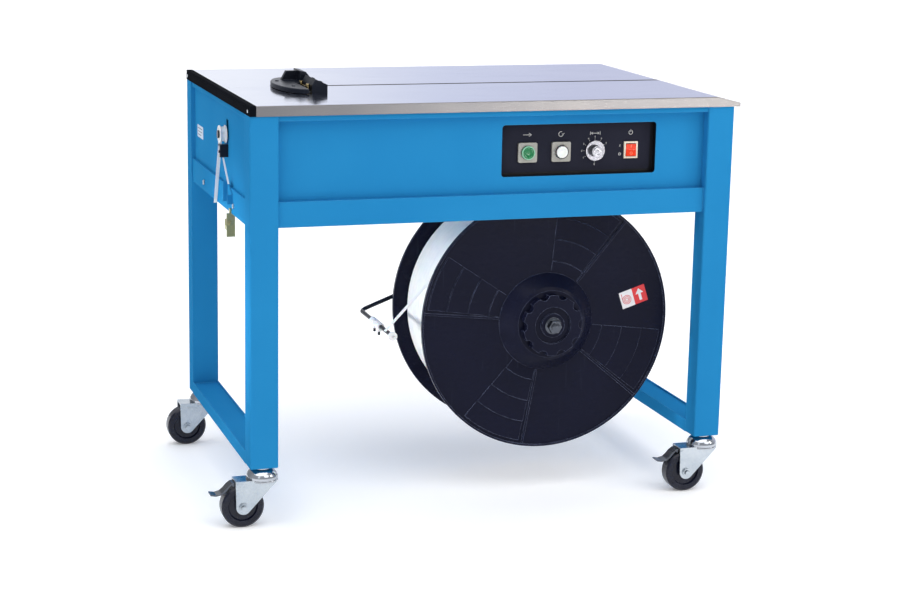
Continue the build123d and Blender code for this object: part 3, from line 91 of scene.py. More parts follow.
class Finish:
    """A procedural material, built up from layers of noise, bands and rounded edges."""

    def __init__(self, name):
        self.material = bpy.data.materials.new(name)
        self.material.use_nodes = True
        self.tree = self.material.node_tree
        self.sockets = self.tree.nodes["Principled BSDF"].inputs
        self.place = self.node("ShaderNodeTexCoord").outputs["Object"]
        self.normal = None

    def node(self, kind, **settings):
        made = self.tree.nodes.new(kind)
        for key, value in settings.items():
            setattr(made, key, value)
        return made

    def give(self, socket, value):
        """Sets a socket, or links it where the value is another node's output."""
        if isinstance(value, bpy.types.NodeSocket):
            self.tree.links.new(value, socket)
        else:
            socket.default_value = value

    def moved(self, scale=(1, 1, 1), offset=(0, 0, 0), turn=(0, 0, 0)):
        mapping = self.node("ShaderNodeMapping", vector_type="POINT")
        self.give(mapping.inputs["Vector"], self.place)
        mapping.inputs["Location"].default_value = offset
        mapping.inputs["Rotation"].default_value = turn
        mapping.inputs["Scale"].default_value = scale
        return mapping.outputs["Vector"]

    def noise(self, scale, detail=3.0, stretch=(1, 1, 1), rough=0.55):
        made = self.node("ShaderNodeTexNoise")
        self.give(made.inputs["Vector"], self.moved(stretch))
        made.inputs["Scale"].default_value = scale
        made.inputs["Detail"].default_value = detail
        made.inputs["Roughness"].default_value = rough
        return made.outputs[0]

    def cells(self, scale):
        made = self.node("ShaderNodeTexVoronoi")
        self.give(made.inputs["Vector"], self.place)
        made.inputs["Scale"].default_value = scale
        return made.outputs["Distance"]

    def bands(self, scale, direction="X", kind="BANDS", distortion=0.0, offset=(0, 0, 0),
              turn=(0, 0, 0)):
        made = self.node("ShaderNodeTexWave", wave_type=kind)
        setattr(made, "bands_direction" if kind == "BANDS" else "rings_direction", direction)
        self.give(made.inputs["Vector"], self.moved((1, 1, 1), offset, turn))
        made.inputs["Scale"].default_value = scale
        made.inputs["Distortion"].default_value = distortion
        made.inputs["Detail"].default_value = 2.0
        return made.outputs["Fac"]

    def remap(self, value, low, high, to_low, to_high):
        made = self.node("ShaderNodeMapRange")
        self.give(made.inputs["Value"], value)
        limits = (("From Min", low), ("From Max", high), ("To Min", to_low), ("To Max", to_high))
        for name, number in limits:
            made.inputs[name].default_value = number
        return made.outputs["Result"]

    def math(self, operation, first, second):
        made = self.node("ShaderNodeMath", operation=operation)
        self.give(made.inputs[0], first)
        self.give(made.inputs[1], second)
        return made.outputs[0]

    def mix(self, factor, first, second):
        made = self.node("ShaderNodeMix", data_type="RGBA")
        self.give(made.inputs[0], factor)
        self.give(made.inputs[6], first)
        self.give(made.inputs[7], second)
        return made.outputs[2]

    def facing_up(self):
        """1 on faces that look up, 0 on the rest."""
        parts = self.node("ShaderNodeSeparateXYZ")
        self.give(parts.inputs[0], self.node("ShaderNodeNewGeometry").outputs["Normal"])
        return self.remap(parts.outputs["Z"], 0.85, 0.97, 0.0, 1.0)

    def rounded(self, radius):
        """Softens every edge by a radius, and returns a mask of those edges."""
        bevel = self.node("ShaderNodeBevel", samples=4)
        bevel.inputs["Radius"].default_value = radius
        self.normal = bevel.outputs["Normal"]
        dot = self.node("ShaderNodeVectorMath", operation="DOT_PRODUCT")
        self.give(dot.inputs[0], self.normal)
        self.give(dot.inputs[1], self.node("ShaderNodeNewGeometry").outputs["Normal"])
        return self.remap(dot.outputs["Value"], 0.995, 0.86, 0.0, 1.0)

    def relief(self, height, depth, strength=1.0):
        """Adds fine relief, with its depth in millimetres."""
        bump = self.node("ShaderNodeBump")
        bump.inputs["Strength"].default_value = strength
        bump.inputs["Distance"].default_value = depth * MM
        self.give(bump.inputs["Height"], height)
        if self.normal is not None:
            self.give(bump.inputs["Normal"], self.normal)
        self.normal = bump.outputs["Normal"]

    def done(self, **fixed):
        if self.normal is not None:
            self.give(self.sockets["Normal"], self.normal)
        for name, value in fixed.items():
            self.sockets[name.replace("_", " ")].default_value = value
        return self.material


def finish(name, colour, second=None, metal=0.0, rough=0.4, spread=0.08, mottle=6.0, grain=900.0,
           depth=0.01, stretch=(1, 1, 1), radius=0.5, wear_and_highlight_colour=None, wear_and_highlight_share=0.3, extra=None, fixed=None):
    """The common recipe: mottled colour, grain, edges a little worn and lightened by a painted
    highlight, and roughness that varies.

    Depth of the grain and radius of the edges are in millimetres, mottle and grain in noise scale.
    """
    made = Finish(name)
    edge = made.rounded(radius * MM)
    broad = made.noise(mottle, 5.0)
    fine = made.noise(grain, 3.0, stretch)
    tint = made.mix(made.remap(broad, 0.35, 0.65, 0.0, 1.0), colour, second or toned(colour, 0.9))
    tint = made.mix(made.remap(fine, 0.3, 0.7, 0.0, 0.25), tint, toned(colour, 0.78))
    # Edges lightened in patches: partly wear, partly a painted highlight on every rounded edge.
    if wear_and_highlight_colour:
        patchy = made.remap(made.noise(60.0, 4.0), 0.35, 0.6, wear_and_highlight_share * 0.4, wear_and_highlight_share)
        wear_and_highlight_mask = made.math("MULTIPLY", edge, patchy)
        tint = made.mix(wear_and_highlight_mask, tint, wear_and_highlight_colour)
    blend = made.math("ADD", made.math("MULTIPLY", broad, 0.6), made.math("MULTIPLY", fine, 0.4))
    roughness = made.remap(blend, 0.3, 0.7, max(0.02, rough - spread), rough + spread)
    made.relief(fine, depth)
    if extra:
        tint, roughness = extra(made, tint, roughness)
    made.give(made.sockets["Base Color"], tint)
    made.give(made.sockets["Roughness"], roughness)
    made.sockets["Metallic"].default_value = metal
    return made.done(**(fixed or {}))


def orange_peel(made, tint, roughness):
    """Powder coat: a soft skin of shallow dimples and a few light specks."""
    made.relief(made.noise(420.0, 1.0), 0.035, 0.55)
    specks = made.remap(made.cells(95.0), 0.0, 0.05, 0.35, 0.0)
    return made.mix(specks, tint, srgb(120, 186, 228)), roughness


def polished_sheet(made, tint, _):
    """Stainless sheet: a mirror-like, finely brushed top, and folded edges with a satin grind and a
    darker grey as painted shade.
    """
    up = made.facing_up()
    brushed = made.noise(5200.0, 2.0, (0.01, 1, 1))
    made.relief(brushed, 0.004, 0.5)
    smears = made.noise(9.0, 6.0, (1, 2.2, 1))
    top = made.remap(smears, 0.35, 0.7, 0.07, 0.17)
    side = made.remap(brushed, 0.3, 0.7, 0.26, 0.36)
    blend = made.node("ShaderNodeMix", data_type="FLOAT")
    made.give(blend.inputs[0], up)
    made.give(blend.inputs[2], side)
    made.give(blend.inputs[3], top)
    # The folded edges get a darker grey than the top as painted shade, drifting lighter and darker along
    # the sheet's length.
    drift_along_length = made.remap(made.noise(2.6, 3.0, (1, 0.2, 0.2)), 0.38, 0.62, 0.0, 1.0)
    ground = made.mix(drift_along_length, srgb(122, 121, 123), srgb(138, 135, 133))
    return made.mix(up, ground, tint), blend.outputs[0]


def brushed(scale, stretch, depth=0.006):
    """Brush lines, drawn out along one axis by the stretch."""
    def layer(made, tint, roughness):
        lines = made.noise(scale, 2.0, stretch)
        made.relief(lines, depth, 0.6)
        shade = made.remap(lines, 0.35, 0.65, 0.0, 0.18)
        return made.mix(shade, tint, srgb(90, 94, 100)), roughness
    return layer


def crystals(made, tint, roughness):
    """Zinc plate: patches of slightly different blue-grey, and tiny pits."""
    patch = made.remap(made.cells(260.0), 0.1, 0.9, 0.0, 0.22)
    made.relief(made.noise(700.0, 2.0), 0.012, 0.5)
    return made.mix(patch, tint, srgb(150, 166, 188)), roughness


def yellow_film(made, tint, roughness):
    """Chromate film: drifting green, gold and rose."""
    green_share = made.remap(made.noise(38.0, 3.0), 0.4, 0.6, 0.0, 0.45)
    green = made.mix(green_share, tint, srgb(150, 172, 120))
    rose_share = made.remap(made.noise(23.0, 3.0), 0.5, 0.7, 0.0, 0.35)
    return made.mix(rose_share, green, srgb(202, 150, 128)), roughness


def turned_on_y(node_name, spacing):
    """Fine rings left by turning, about a line along Y, with their spacing in millimetres."""
    centre = middle(node_name)
    rings_per_metre = 1 / (spacing * MM)

    def layer(made, tint, roughness):
        rings = made.bands(rings_per_metre / WAVE_RATE, "Y", "RINGS", 0.3, tuple(-centre))
        made.relief(rings, 0.01, 0.6)
        shade = made.remap(rings, 0.2, 0.8, 0.0, 0.12)
        return made.mix(shade, tint, srgb(120, 124, 130)), roughness
    return layer


def moulded(made, tint, roughness):
    """Moulded plastic: faint flow marks, dust and hairline scuffs."""
    flow = made.noise(14.0, 5.0, (1, 0.4, 2.0), 0.62)
    made.relief(flow, 0.05, 0.25)
    scuffs = made.remap(made.noise(130.0, 2.0, (1, 1, 0.06)), 0.66, 0.74, 0.0, 0.28)
    tint = made.mix(scuffs, tint, srgb(46, 50, 66))
    return tint, made.math("ADD", roughness, made.remap(flow, 0.4, 0.7, -0.03, 0.06))


def embossed(made, tint, roughness):
    """Strap surface: the small diamond pattern rolled into polypropylene strapping."""
    up = made.bands(420.0, "DIAGONAL")
    down = made.bands(420.0, "DIAGONAL", turn=(0, 0, math.pi / 2))
    made.relief(made.math("MULTIPLY", up, down), 0.04, 0.5)
    return tint, roughness


def leather_grain(made, tint, roughness):
    """Fine pebbled texture of a textured black plate."""
    made.relief(made.cells(1500.0), 0.03, 0.6)
    return tint, roughness


def traces(made, tint, roughness):
    """Lighter lines over a solder mask."""
    along = made.bands(110.0, "X", distortion=2.0)
    across = made.bands(95.0, "Y", distortion=2.0)
    shown = made.remap(made.math("MULTIPLY", along, across), 0.45, 0.6, 0.0, 0.6)
    return made.mix(shown, tint, srgb(90, 150, 90)), roughness


def laminations(made, tint, roughness):
    """Edges of a stack of thin plates."""
    plates = made.bands(300.0, "Y")
    made.relief(plates, 0.08, 0.8)
    return tint, roughness


def ribbed_wheel(made, tint, roughness):
    """Tyre: dust in the tread."""
    dust = made.remap(made.noise(45.0, 5.0), 0.5, 0.75, 0.0, 0.07)
    return made.mix(dust, tint, srgb(80, 88, 112)), made.math("ADD", roughness, dust)


RUBBER = {"Specular_IOR_Level": 0.28, "Coat_Weight": 0.12, "Coat_Roughness": 0.2}
SATIN = {"Specular_IOR_Level": 0.25, "Coat_Weight": 0.05, "Coat_Roughness": 0.25}
MATT = {"Specular_IOR_Level": 0.2}
DEAD_MATT = {"Specular_IOR_Level": 0.0005}
MOULDED = {"Specular_IOR_Level": 0.08}
GLOSS = {"Specular_IOR_Level": 0.3, "Coat_Weight": 0.2, "Coat_Roughness": 0.14}
SOFT = {"Subsurface_Weight": 0.15, "Subsurface_Scale": 0.002}

# The light edge colours below lighten every rounded edge: partly wear, partly a painted highlight.
STYLES = {
    "blue_paint": dict(
        colour=srgb(41, 134, 189), second=srgb(37, 128, 184), rough=0.45, spread=0.05, mottle=3.5,
        grain=1500, depth=0.008, radius=1.2, wear_and_highlight_colour=srgb(100, 178, 224), wear_and_highlight_share=0.55,
        extra=orange_peel, fixed=DEAD_MATT),
    "table_steel": dict(
        colour=srgb(208, 212, 228), second=srgb(200, 205, 224), metal=1.0, rough=0.2, spread=0.04,
        mottle=5, grain=1800, depth=0.002, stretch=(0.02, 1, 1), radius=0.7,
        wear_and_highlight_colour=srgb(246, 242, 238), wear_and_highlight_share=0.8, extra=polished_sheet),
    "plain_steel": dict(
        colour=srgb(172, 175, 180), metal=1.0, rough=0.3, wear_and_highlight_colour=srgb(214, 216, 220), wear_and_highlight_share=0.6,
        extra=brushed(1400.0, (1, 1, 0.03))),
    "zinc": dict(
        colour=srgb(200, 206, 210), second=srgb(172, 182, 190), metal=1.0, rough=0.27, mottle=22,
        wear_and_highlight_colour=srgb(236, 240, 246), wear_and_highlight_share=0.7, extra=crystals),
    "olive_zinc": dict(
        colour=srgb(196, 186, 140), second=srgb(176, 172, 122), metal=1.0, rough=0.32, mottle=30,
        wear_and_highlight_colour=srgb(224, 220, 190), wear_and_highlight_share=0.6, extra=yellow_film),
    "chrome": dict(
        colour=srgb(188, 192, 198), second=srgb(178, 183, 190), metal=1.0, rough=0.09, spread=0.04,
        mottle=14, depth=0.002, radius=0.6, wear_and_highlight_colour=srgb(240, 242, 246), wear_and_highlight_share=0.6),
    # Black steel: its light edge colour is a painted highlight.
    "black_steel": dict(
        colour=srgb(26, 31, 43), second=srgb(20, 25, 36), metal=0.3, rough=0.34, mottle=30,
        depth=0.01, radius=0.7, wear_and_highlight_colour=srgb(104, 112, 132), wear_and_highlight_share=0.75, fixed=SATIN),
    "black_trim": dict(
        colour=srgb(18, 20, 26), second=srgb(14, 16, 21), rough=0.45, radius=0.5,
        wear_and_highlight_colour=srgb(70, 78, 92), wear_and_highlight_share=0.35, extra=leather_grain, fixed=DEAD_MATT),
    "panel_dark": dict(
        colour=srgb(17, 17, 21), second=srgb(13, 13, 17), rough=0.46, radius=0.5,
        wear_and_highlight_colour=srgb(70, 72, 80), wear_and_highlight_share=0.4, extra=leather_grain, fixed=MATT),
    "bezel_grey": dict(
        colour=srgb(160, 158, 150), rough=0.34, wear_and_highlight_colour=srgb(206, 204, 196), wear_and_highlight_share=0.6, fixed=GLOSS),
    "green_cap": dict(
        colour=srgb(0, 118, 66), second=srgb(0, 108, 60), rough=0.22, wear_and_highlight_colour=srgb(120, 210, 160),
        wear_and_highlight_share=0.5, fixed={**GLOSS, **SOFT}),
    "white_cap": dict(
        colour=srgb(238, 238, 234), second=srgb(230, 230, 226), rough=0.24,
        fixed={**GLOSS, **SOFT}),
    "cream_frame": dict(
        colour=srgb(226, 214, 192), rough=0.32, wear_and_highlight_colour=srgb(244, 236, 222), wear_and_highlight_share=0.5, fixed=GLOSS),
    "red_rocker": dict(
        colour=srgb(236, 62, 24), second=srgb(226, 52, 16), rough=0.2, wear_and_highlight_colour=srgb(255, 150, 110),
        wear_and_highlight_share=0.6, fixed={**GLOSS, **SOFT}),
    "knob_metal": dict(
        colour=srgb(128, 128, 134), metal=1.0, rough=0.24, wear_and_highlight_colour=srgb(240, 240, 242), wear_and_highlight_share=0.7,
        radius=0.3, extra=turned_on_y("length_knob", 0.89)),
    "brass": dict(
        colour=srgb(226, 200, 140), metal=1.0, rough=0.2, wear_and_highlight_colour=srgb(248, 232, 190), wear_and_highlight_share=0.6),
    # Reel plastic: its light edge colour is painted glints along the ridges and seams of the flanges.
    "reel_plastic": dict(
        colour=srgb(17, 19, 36), second=srgb(20, 22, 41), rough=0.26, spread=0.05, mottle=7,
        grain=1200, depth=0.012, radius=1.1, wear_and_highlight_colour=srgb(126, 134, 162), wear_and_highlight_share=0.9,
        extra=moulded, fixed=MOULDED),
    "strap": dict(
        colour=srgb(246, 243, 240), second=srgb(238, 236, 236), rough=0.34, mottle=40, radius=0.2,
        extra=embossed, fixed=SOFT),
    "nylon_white": dict(
        colour=srgb(234, 235, 236), second=srgb(222, 224, 226), rough=0.38, mottle=50, radius=0.4,
        wear_and_highlight_colour=srgb(250, 250, 250), wear_and_highlight_share=0.4, fixed=SOFT),
    "motor_grey": dict(
        colour=srgb(120, 124, 128), rough=0.5, grain=500, depth=0.06, wear_and_highlight_colour=srgb(170, 172, 176)),
    "belt_rubber": dict(
        colour=srgb(34, 34, 35), rough=0.7, grain=700, depth=0.04, extra=laminations),
    "board_green": dict(colour=srgb(24, 100, 58), rough=0.35, extra=traces, fixed=GLOSS),
    "core_steel": dict(colour=srgb(88, 84, 80), metal=0.6, rough=0.45, extra=laminations),
    "caster_rubber": dict(
        colour=srgb(14, 17, 34), second=srgb(16, 19, 38), rough=0.22, mottle=30, radius=0.9,
        wear_and_highlight_colour=srgb(70, 76, 92), wear_and_highlight_share=0.45, extra=ribbed_wheel, fixed=RUBBER),
    "pale_green": dict(colour=srgb(150, 214, 178), rough=0.3, fixed=GLOSS),
    "dark_ring": dict(
        colour=srgb(58, 56, 62), rough=0.35, wear_and_highlight_colour=srgb(120, 118, 124), fixed=GLOSS),
    "print_white": dict(colour=srgb(214, 214, 210), rough=0.5, radius=0.05),
    "print_faint": dict(colour=srgb(250, 138, 96), rough=0.4, radius=0.05),
    "charcoal": dict(
        colour=srgb(43, 44, 55), second=srgb(38, 39, 49), rough=0.5, radius=0.1,
        extra=leather_grain, fixed=DEAD_MATT),
    "dark_steel": dict(
        colour=srgb(86, 90, 98), metal=1.0, rough=0.22, radius=0.4,
        wear_and_highlight_colour=srgb(190, 194, 200), wear_and_highlight_share=0.7),
    "label_white": dict(colour=srgb(238, 234, 234), rough=0.4, mottle=60, radius=0.1),
    "label_red": dict(
        colour=srgb(222, 40, 44), second=srgb(212, 34, 40), rough=0.36, radius=0.1),
    "label_blue": dict(colour=srgb(198, 214, 232), rough=0.4, radius=0.1),
    "knob_bright": dict(colour=srgb(176, 176, 182), metal=1.0, rough=0.24, radius=0.2),
}

looks = {name: finish(name, **style) for name, style in STYLES.items()}

for row in frame["record"]["subparts"]:
    node_object = frame["nodes"][row["node"]]
    for material_slot in node_object.material_slots:
        material_slot.material = looks[row["material_slot"]]

# The brake pedals are shaded by the forks, and darker than the other plain steel.
for pedal in ("brake_pedal_front_left", "brake_pedal_front_right"):
    for material_slot in frame["nodes"][pedal].material_slots:
        material_slot.material = looks["dark_steel"]


# ---------------------------------------------------------------- mesh tools


def square_to(axis):
    """Two directions square to an axis and to each other."""
    across = axis.cross(Z if abs(axis.z) < 0.9 else X).normalized()
    return across, axis.cross(across).normalized()


def circle(centre, across, up, radius, steps):
    """Points round a circle in the plane of two directions."""
    angles = [2 * math.pi * step / steps for step in range(steps)]
    return [centre + (across * math.cos(a) + up * math.sin(a)) * radius for a in angles]


class Piece:
    """A mesh gathered from turned shapes, raised outlines, flat lines and beads."""

    def __init__(self):
        self.mesh = bmesh.new()

    def skin(self, rings, capped=False, looped=False):
        """Faces between rings of points, with the end rings filled in or joined to each other."""
        rows = [[self.mesh.verts.new(point) for point in ring] for ring in rings]
        last = len(rows) if looped else len(rows) - 1
        for number in range(last):
            low, high = rows[number], rows[(number + 1) % len(rows)]
            for step in range(len(low)):
                after = (step + 1) % len(low)
                self.mesh.faces.new((low[step], low[after], high[after], high[step]))
        if capped:
            self.mesh.faces.new(rows[0][::-1])
            self.mesh.faces.new(rows[-1])

    def lathe(self, profile, centre, axis, steps=64):
        """Turns (radius, height) points about an axis through a centre."""
        across, up = square_to(axis)
        rings = [circle(centre + axis * height, across, up, radius, steps) for radius, height in profile]
        self.skin(rings, capped=profile[0] != profile[-1])

    def prism(self, outline, centre, across, up, height, rim):
        """Raises a flat outline, with its far rim drawn in by a chamfer."""
        out = across.cross(up)
        inner = Vector((sum(p[0] for p in outline), sum(p[1] for p in outline))) / len(outline)
        rings = []
        for lift, inset in ((0.0, 0.0), (height - rim, 0.0), (height, rim)):
            ring = []
            for point in outline:
                flat = Vector(point) - inner
                flat = inner + flat * max(0.0, 1 - inset / max(flat.length, 1e-9))
                ring.append(centre + across * flat.x + up * flat.y + out * lift)
            rings.append(ring)
        self.skin(rings, capped=True)

    def stroke(self, points, width, height, closed=False):
        """A flat line along points of print_place, raised a little off that plane."""
        path = [Vector(p) for p in points]
        centre, across, up = self.print_place
        out = across.cross(up)
        rows = []
        for number, point in enumerate(path):
            before = path[number - 1] if number or closed else point
            after = path[(number + 1) % len(path)] if number < len(path) - 1 or closed else point
            along = (after - before).normalized()
            side = Vector((-along.y, along.x)) * width / 2
            ring = []
            for sign, lift in ((-1, 0.0), (1, 0.0), (1, height), (-1, height)):
                flat = point + side * sign
                ring.append(centre + across * flat.x + up * flat.y + out * lift)
            rows.append(ring)
        self.skin(rows, capped=not closed, looped=closed)

    def bead(self, start, run, radii, sides):
        """A straight round bead whose radius changes along it."""
        along = run.normalized()
        side = square_to(along)[0]
        up = along.cross(side)
        last = len(radii) - 1
        rings = []
        for number, radius in enumerate(radii):
            rings.append(circle(start + run * number / last, side, up, radius, sides))
        self.skin(rings, capped=True)

    def done(self, name, body, slot, look=None, angle=38.0):
        """Makes the object, smooth up to an angle, riding on a body."""
        bmesh.ops.recalc_face_normals(self.mesh, faces=self.mesh.faces)
        data = bpy.data.meshes.new(name)
        self.mesh.to_mesh(data)
        self.mesh.free()
        data.polygons.foreach_set("use_smooth", [True] * len(data.polygons))
        data.set_sharp_from_angle(angle=math.radians(angle))
        made = bpy.data.objects.new(name, data)
        bpy.context.scene.collection.objects.link(made)
        data.materials.append(looks[look or slot])
        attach(made, body)
        return made


def arc(radius, start, end, steps=24, centre=(0, 0)):
    """Points on an arc, with angles in degrees."""
    angles = [math.radians(start + (end - start) * step / steps) for step in range(steps + 1)]
    return [(centre[0] + radius * math.cos(a), centre[1] + radius * math.sin(a)) for a in angles]


def scaled(points):
    """Flat points given in millimetres, in metres."""
    return [(x * MM, y * MM) for x, y in points]


def rounded_outline(width, height, corner, shift=0.0):
    """Rectangle with rounded corners, as points in order."""
    points = []
    for number, (right, top) in enumerate(((1, 1), (-1, 1), (-1, -1), (1, -1))):
        centre = (right * (width / 2 - corner) + shift, top * (height / 2 - corner))
        points += arc(corner, 90 * number, 90 * number + 90, 5, centre)
    return points


def ring_profile(points):
    """Closed profile of (radius, height) points in millimetres, in metres."""
    closed = scaled(points)
    return closed + closed[:1]


# ---------------------------------------------------------------- wound strap on the reel


STRAP_BAND = 12.0 * MM
STRAP_LIFT = 0.372 * MM
CORE_RADIUS = 100.2 * MM
SIDE_LAYERS = 46
SIDE_WOBBLE, SIDE_RIPPLE = 1.1 * MM, 0.35 * MM
SHOULDER, SHOULDER_STARTS = 3.4 * MM, 0.92
TURN_STEPS = 90
# Section of the strap: places in shares of its width, heights in shares of the lift.
BAND_SECTION = (
    (-0.5, 0.0),
    (-0.5, 0.7),
    (-0.46, 1.0),
    (0.0, 1.08),
    (0.46, 1.0),
    (0.5, 0.7),
    (0.5, 0.0),
)


def coil_side(side, radius, width):
    """Rippled side of the coil, as (radius, height) points from the core outwards."""
    top = radius - 1.6 * MM
    points = []
    for layer in range(SIDE_LAYERS + 1):
        share = layer / SIDE_LAYERS
        wobble = noise.noise(Vector((share * 9.0, side * 3.1, 0.4))) * SIDE_WOBBLE
        ripple = SIDE_RIPPLE * (layer % 2)
        drawn_in = SHOULDER * max(0.0, share - SHOULDER_STARTS) / (1 - SHOULDER_STARTS)
        height = width / 2 - 0.5 * MM - ripple - abs(wobble) - drawn_in
        points.append((CORE_RADIUS + share * (top - CORE_RADIUS), side * height))
    return points


def outer_turns(centre, base, travel, hand, layer):
    """Sections of one strap wound as a helix on the coil."""
    pitch = STRAP_BAND + (0.9 + 0.8 * layer) * MM
    turns = travel / pitch
    count = int(turns * TURN_STEPS)
    rows = []
    for step in range(count + 1):
        turn = turns * step / count
        angle = hand * 2 * math.pi * turn + 0.7 * layer
        drift = noise.noise(Vector((turn * 1.7, layer * 5.0, 2.0))) * 0.7 * MM
        lift = base + abs(noise.noise(Vector((turn * 2.3, 7.0, layer)))) * 0.25 * MM
        along = -travel / 2 + travel * step / count + drift
        out = Vector((math.cos(angle), 0, math.sin(angle)))
        row = []
        for across, height in BAND_SECTION:
            row.append(centre + out * (lift + height * STRAP_LIFT) + Y * (along + across * STRAP_BAND))
        rows.append(row)
    return rows


def wound_strap():
    """Strap on the core: rippled sides, and an outer layer of turns over a crossed one."""
    low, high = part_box("strap_coil")
    centre = (low + high) / 2
    radius = (high.x - low.x) / 2
    width = high.y - low.y
    coil = Piece()
    profile = coil_side(-1, radius, width) + coil_side(1, radius, width)[::-1]
    coil.skin([circle(centre + Y * h, X, Z, r, 144) for r, h in profile], looped=True)
    travel = width - STRAP_BAND - 4 * MM
    for layer, (depth, hand) in enumerate(((1.5, 1), (0.75, -1))):
        coil.skin(outer_turns(centre, radius - depth * MM, travel, hand, layer), capped=True)
    made = coil.done("wound_strap", "reel", "strap", angle=50.0)
    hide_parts("strap_coil")


wound_strap()

# ---------------------------------------------------------------- control panel print

BOX_LOW, BOX_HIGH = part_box("control_box")
FACE_Y = BOX_HIGH.y - 3.0 * MM
PRINT = 0.12 * MM
PLATE = 0.24 * MM
PRINT_Y = FACE_Y - PLATE + 0.02 * MM
LINE = 0.75 * MM
FINE_LINE = 0.5 * MM
LEGEND = 31.0 * MM
DIAL_TICKS = (19.6 * MM, 21.4 * MM)
DIAL_NUMBERS = 24.6 * MM
DIGIT = 4.4 * MM
SWITCH_MARKS = 20.0 * MM
knob = middle("length_knob")
feed = middle("feed_button")
reset = middle("reset_button")
rocker = middle("power_rocker")


def on_panel(piece, x, z):
    """Places the next strokes of a piece on the panel's face."""
    piece.print_place = (Vector((x, PRINT_Y, z)), X, Z)


def add_curve(piece, curve, place):
    """Adds a flat curve to a piece, stood up to face out of the panel."""
    holder = bpy.data.objects.new(curve.name, curve)
    mesh = bpy.data.meshes.new_from_object(holder)
    upright = Euler((math.pi / 2, 0, 0)).to_matrix().to_4x4()
    mesh.transform(Matrix.Translation(place) @ upright)
    piece.mesh.from_mesh(mesh)
    bpy.data.meshes.remove(mesh)
    bpy.data.objects.remove(holder)
    bpy.data.curves.remove(curve)


def digit_on(piece, digit, x, z):
    """A digit from the built-in font, on the panel's face."""
    curve = bpy.data.curves.new("digits", "FONT")
    curve.body = str(digit)
    curve.size = DIGIT
    curve.extrude = PRINT / 2
    curve.align_x = "CENTER"
    curve.align_y = "CENTER"
    add_curve(piece, curve, (x, PRINT_Y, z))


def printed_panel():
    """Generic symbols over the controls, the dial's ticks and numbers, and the switch marks."""
    legend = Piece()
    on_panel(legend, feed.x, feed.z + LEGEND)
    legend.stroke(scaled([(-8, 0), (7, 0)]), LINE, PRINT)
    legend.stroke(scaled([(3, 3), (8, 0), (3, -3)]), LINE, PRINT)
    on_panel(legend, reset.x, reset.z + LEGEND)
    legend.stroke(scaled(arc(4.2, 60, 360)), LINE, PRINT)
    legend.stroke(scaled([(1.6, 0.4), (4.2, -0.6), (6.4, 1.6)]), LINE, PRINT)
    on_panel(legend, knob.x, knob.z + LEGEND)
    legend.stroke(scaled([(-7, 0), (7, 0)]), LINE, PRINT)
    for side in (-1, 1):
        legend.stroke(scaled([(side * 4.6, 2), (side * 7.4, 0), (side * 4.6, -2)]), LINE, PRINT)
        legend.stroke(scaled([(side * 9.2, 3), (side * 9.2, -3)]), LINE, PRINT)
    on_panel(legend, rocker.x, rocker.z + LEGEND)
    legend.stroke(scaled(arc(3.6, 120, 420)), LINE, PRINT)
    legend.stroke(scaled([(0, 0.6), (0, 5)]), LINE, PRINT)
    on_panel(legend, knob.x, knob.z)
    for number, degrees in enumerate((210, 180, 150, 120, 90, 60, 30, 270), 1):
        angle = math.radians(degrees)
        out = Vector((math.cos(angle), math.sin(angle)))
        legend.stroke([out * radius for radius in DIAL_TICKS], FINE_LINE, PRINT)
        spot = out * DIAL_NUMBERS
        digit_on(legend, number, knob.x + spot.x, knob.z + spot.y)
    on_panel(legend, rocker.x - SWITCH_MARKS, rocker.z)
    legend.stroke(scaled([(0, 5.5), (0, 9.5)]), LINE, PRINT)
    legend.stroke(scaled(arc(2.1, 0, 360, 20, (0, -7.5))[:-1]), LINE, PRINT, closed=True)
    legend.done("panel_print", "frame", "white_cap", "print_white")


def panel_plate():
    """Charcoal face plate with openings for the controls, let into the black surround."""
    curve = bpy.data.curves.new("plate_outline", "CURVE")
    curve.dimensions = "2D"
    curve.fill_mode = "BOTH"
    curve.extrude = PLATE / 2
    near, far = 7.0 * MM, 9.5 * MM
    left, right = BOX_LOW.x + near, BOX_HIGH.x - far
    foot, top = BOX_LOW.z + far, BOX_HIGH.z - near
    size = ((right - left) / MM, (top - foot) / MM)
    outlines = [(rounded_outline(*size, 4.0), (left + right) / 2, (foot + top) / 2)]
    for cap in (feed, reset):
        outlines.append((rounded_outline(35.4, 35.4, 3.0), cap.x, cap.z))
    outlines.append((arc(4.0, 0, 360, 24)[:-1], knob.x, knob.z))
    outlines.append((rounded_outline(26.4, 30.4, 0.5), rocker.x, rocker.z))
    for points, x, z in outlines:
        loop = curve.splines.new("POLY")
        loop.points.add(len(points) - 1)
        loop.use_cyclic_u = True
        for spot, (across, up) in zip(loop.points, points):
            spot.co = (x + across * MM, z + up * MM, 0, 1)
    plate = Piece()
    add_curve(plate, curve, (0, FACE_Y - PLATE / 2, 0))
    bmesh.ops.remove_doubles(plate.mesh, verts=plate.mesh.verts, dist=0.01 * MM)
    plate.done("panel_plate", "frame", "panel_dark", "charcoal")


def face_centre(node_name):
    """Middle of a node's front face."""
    low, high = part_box(node_name)
    return Vector(((low.x + high.x) / 2, low.y, (low.z + high.z) / 2))


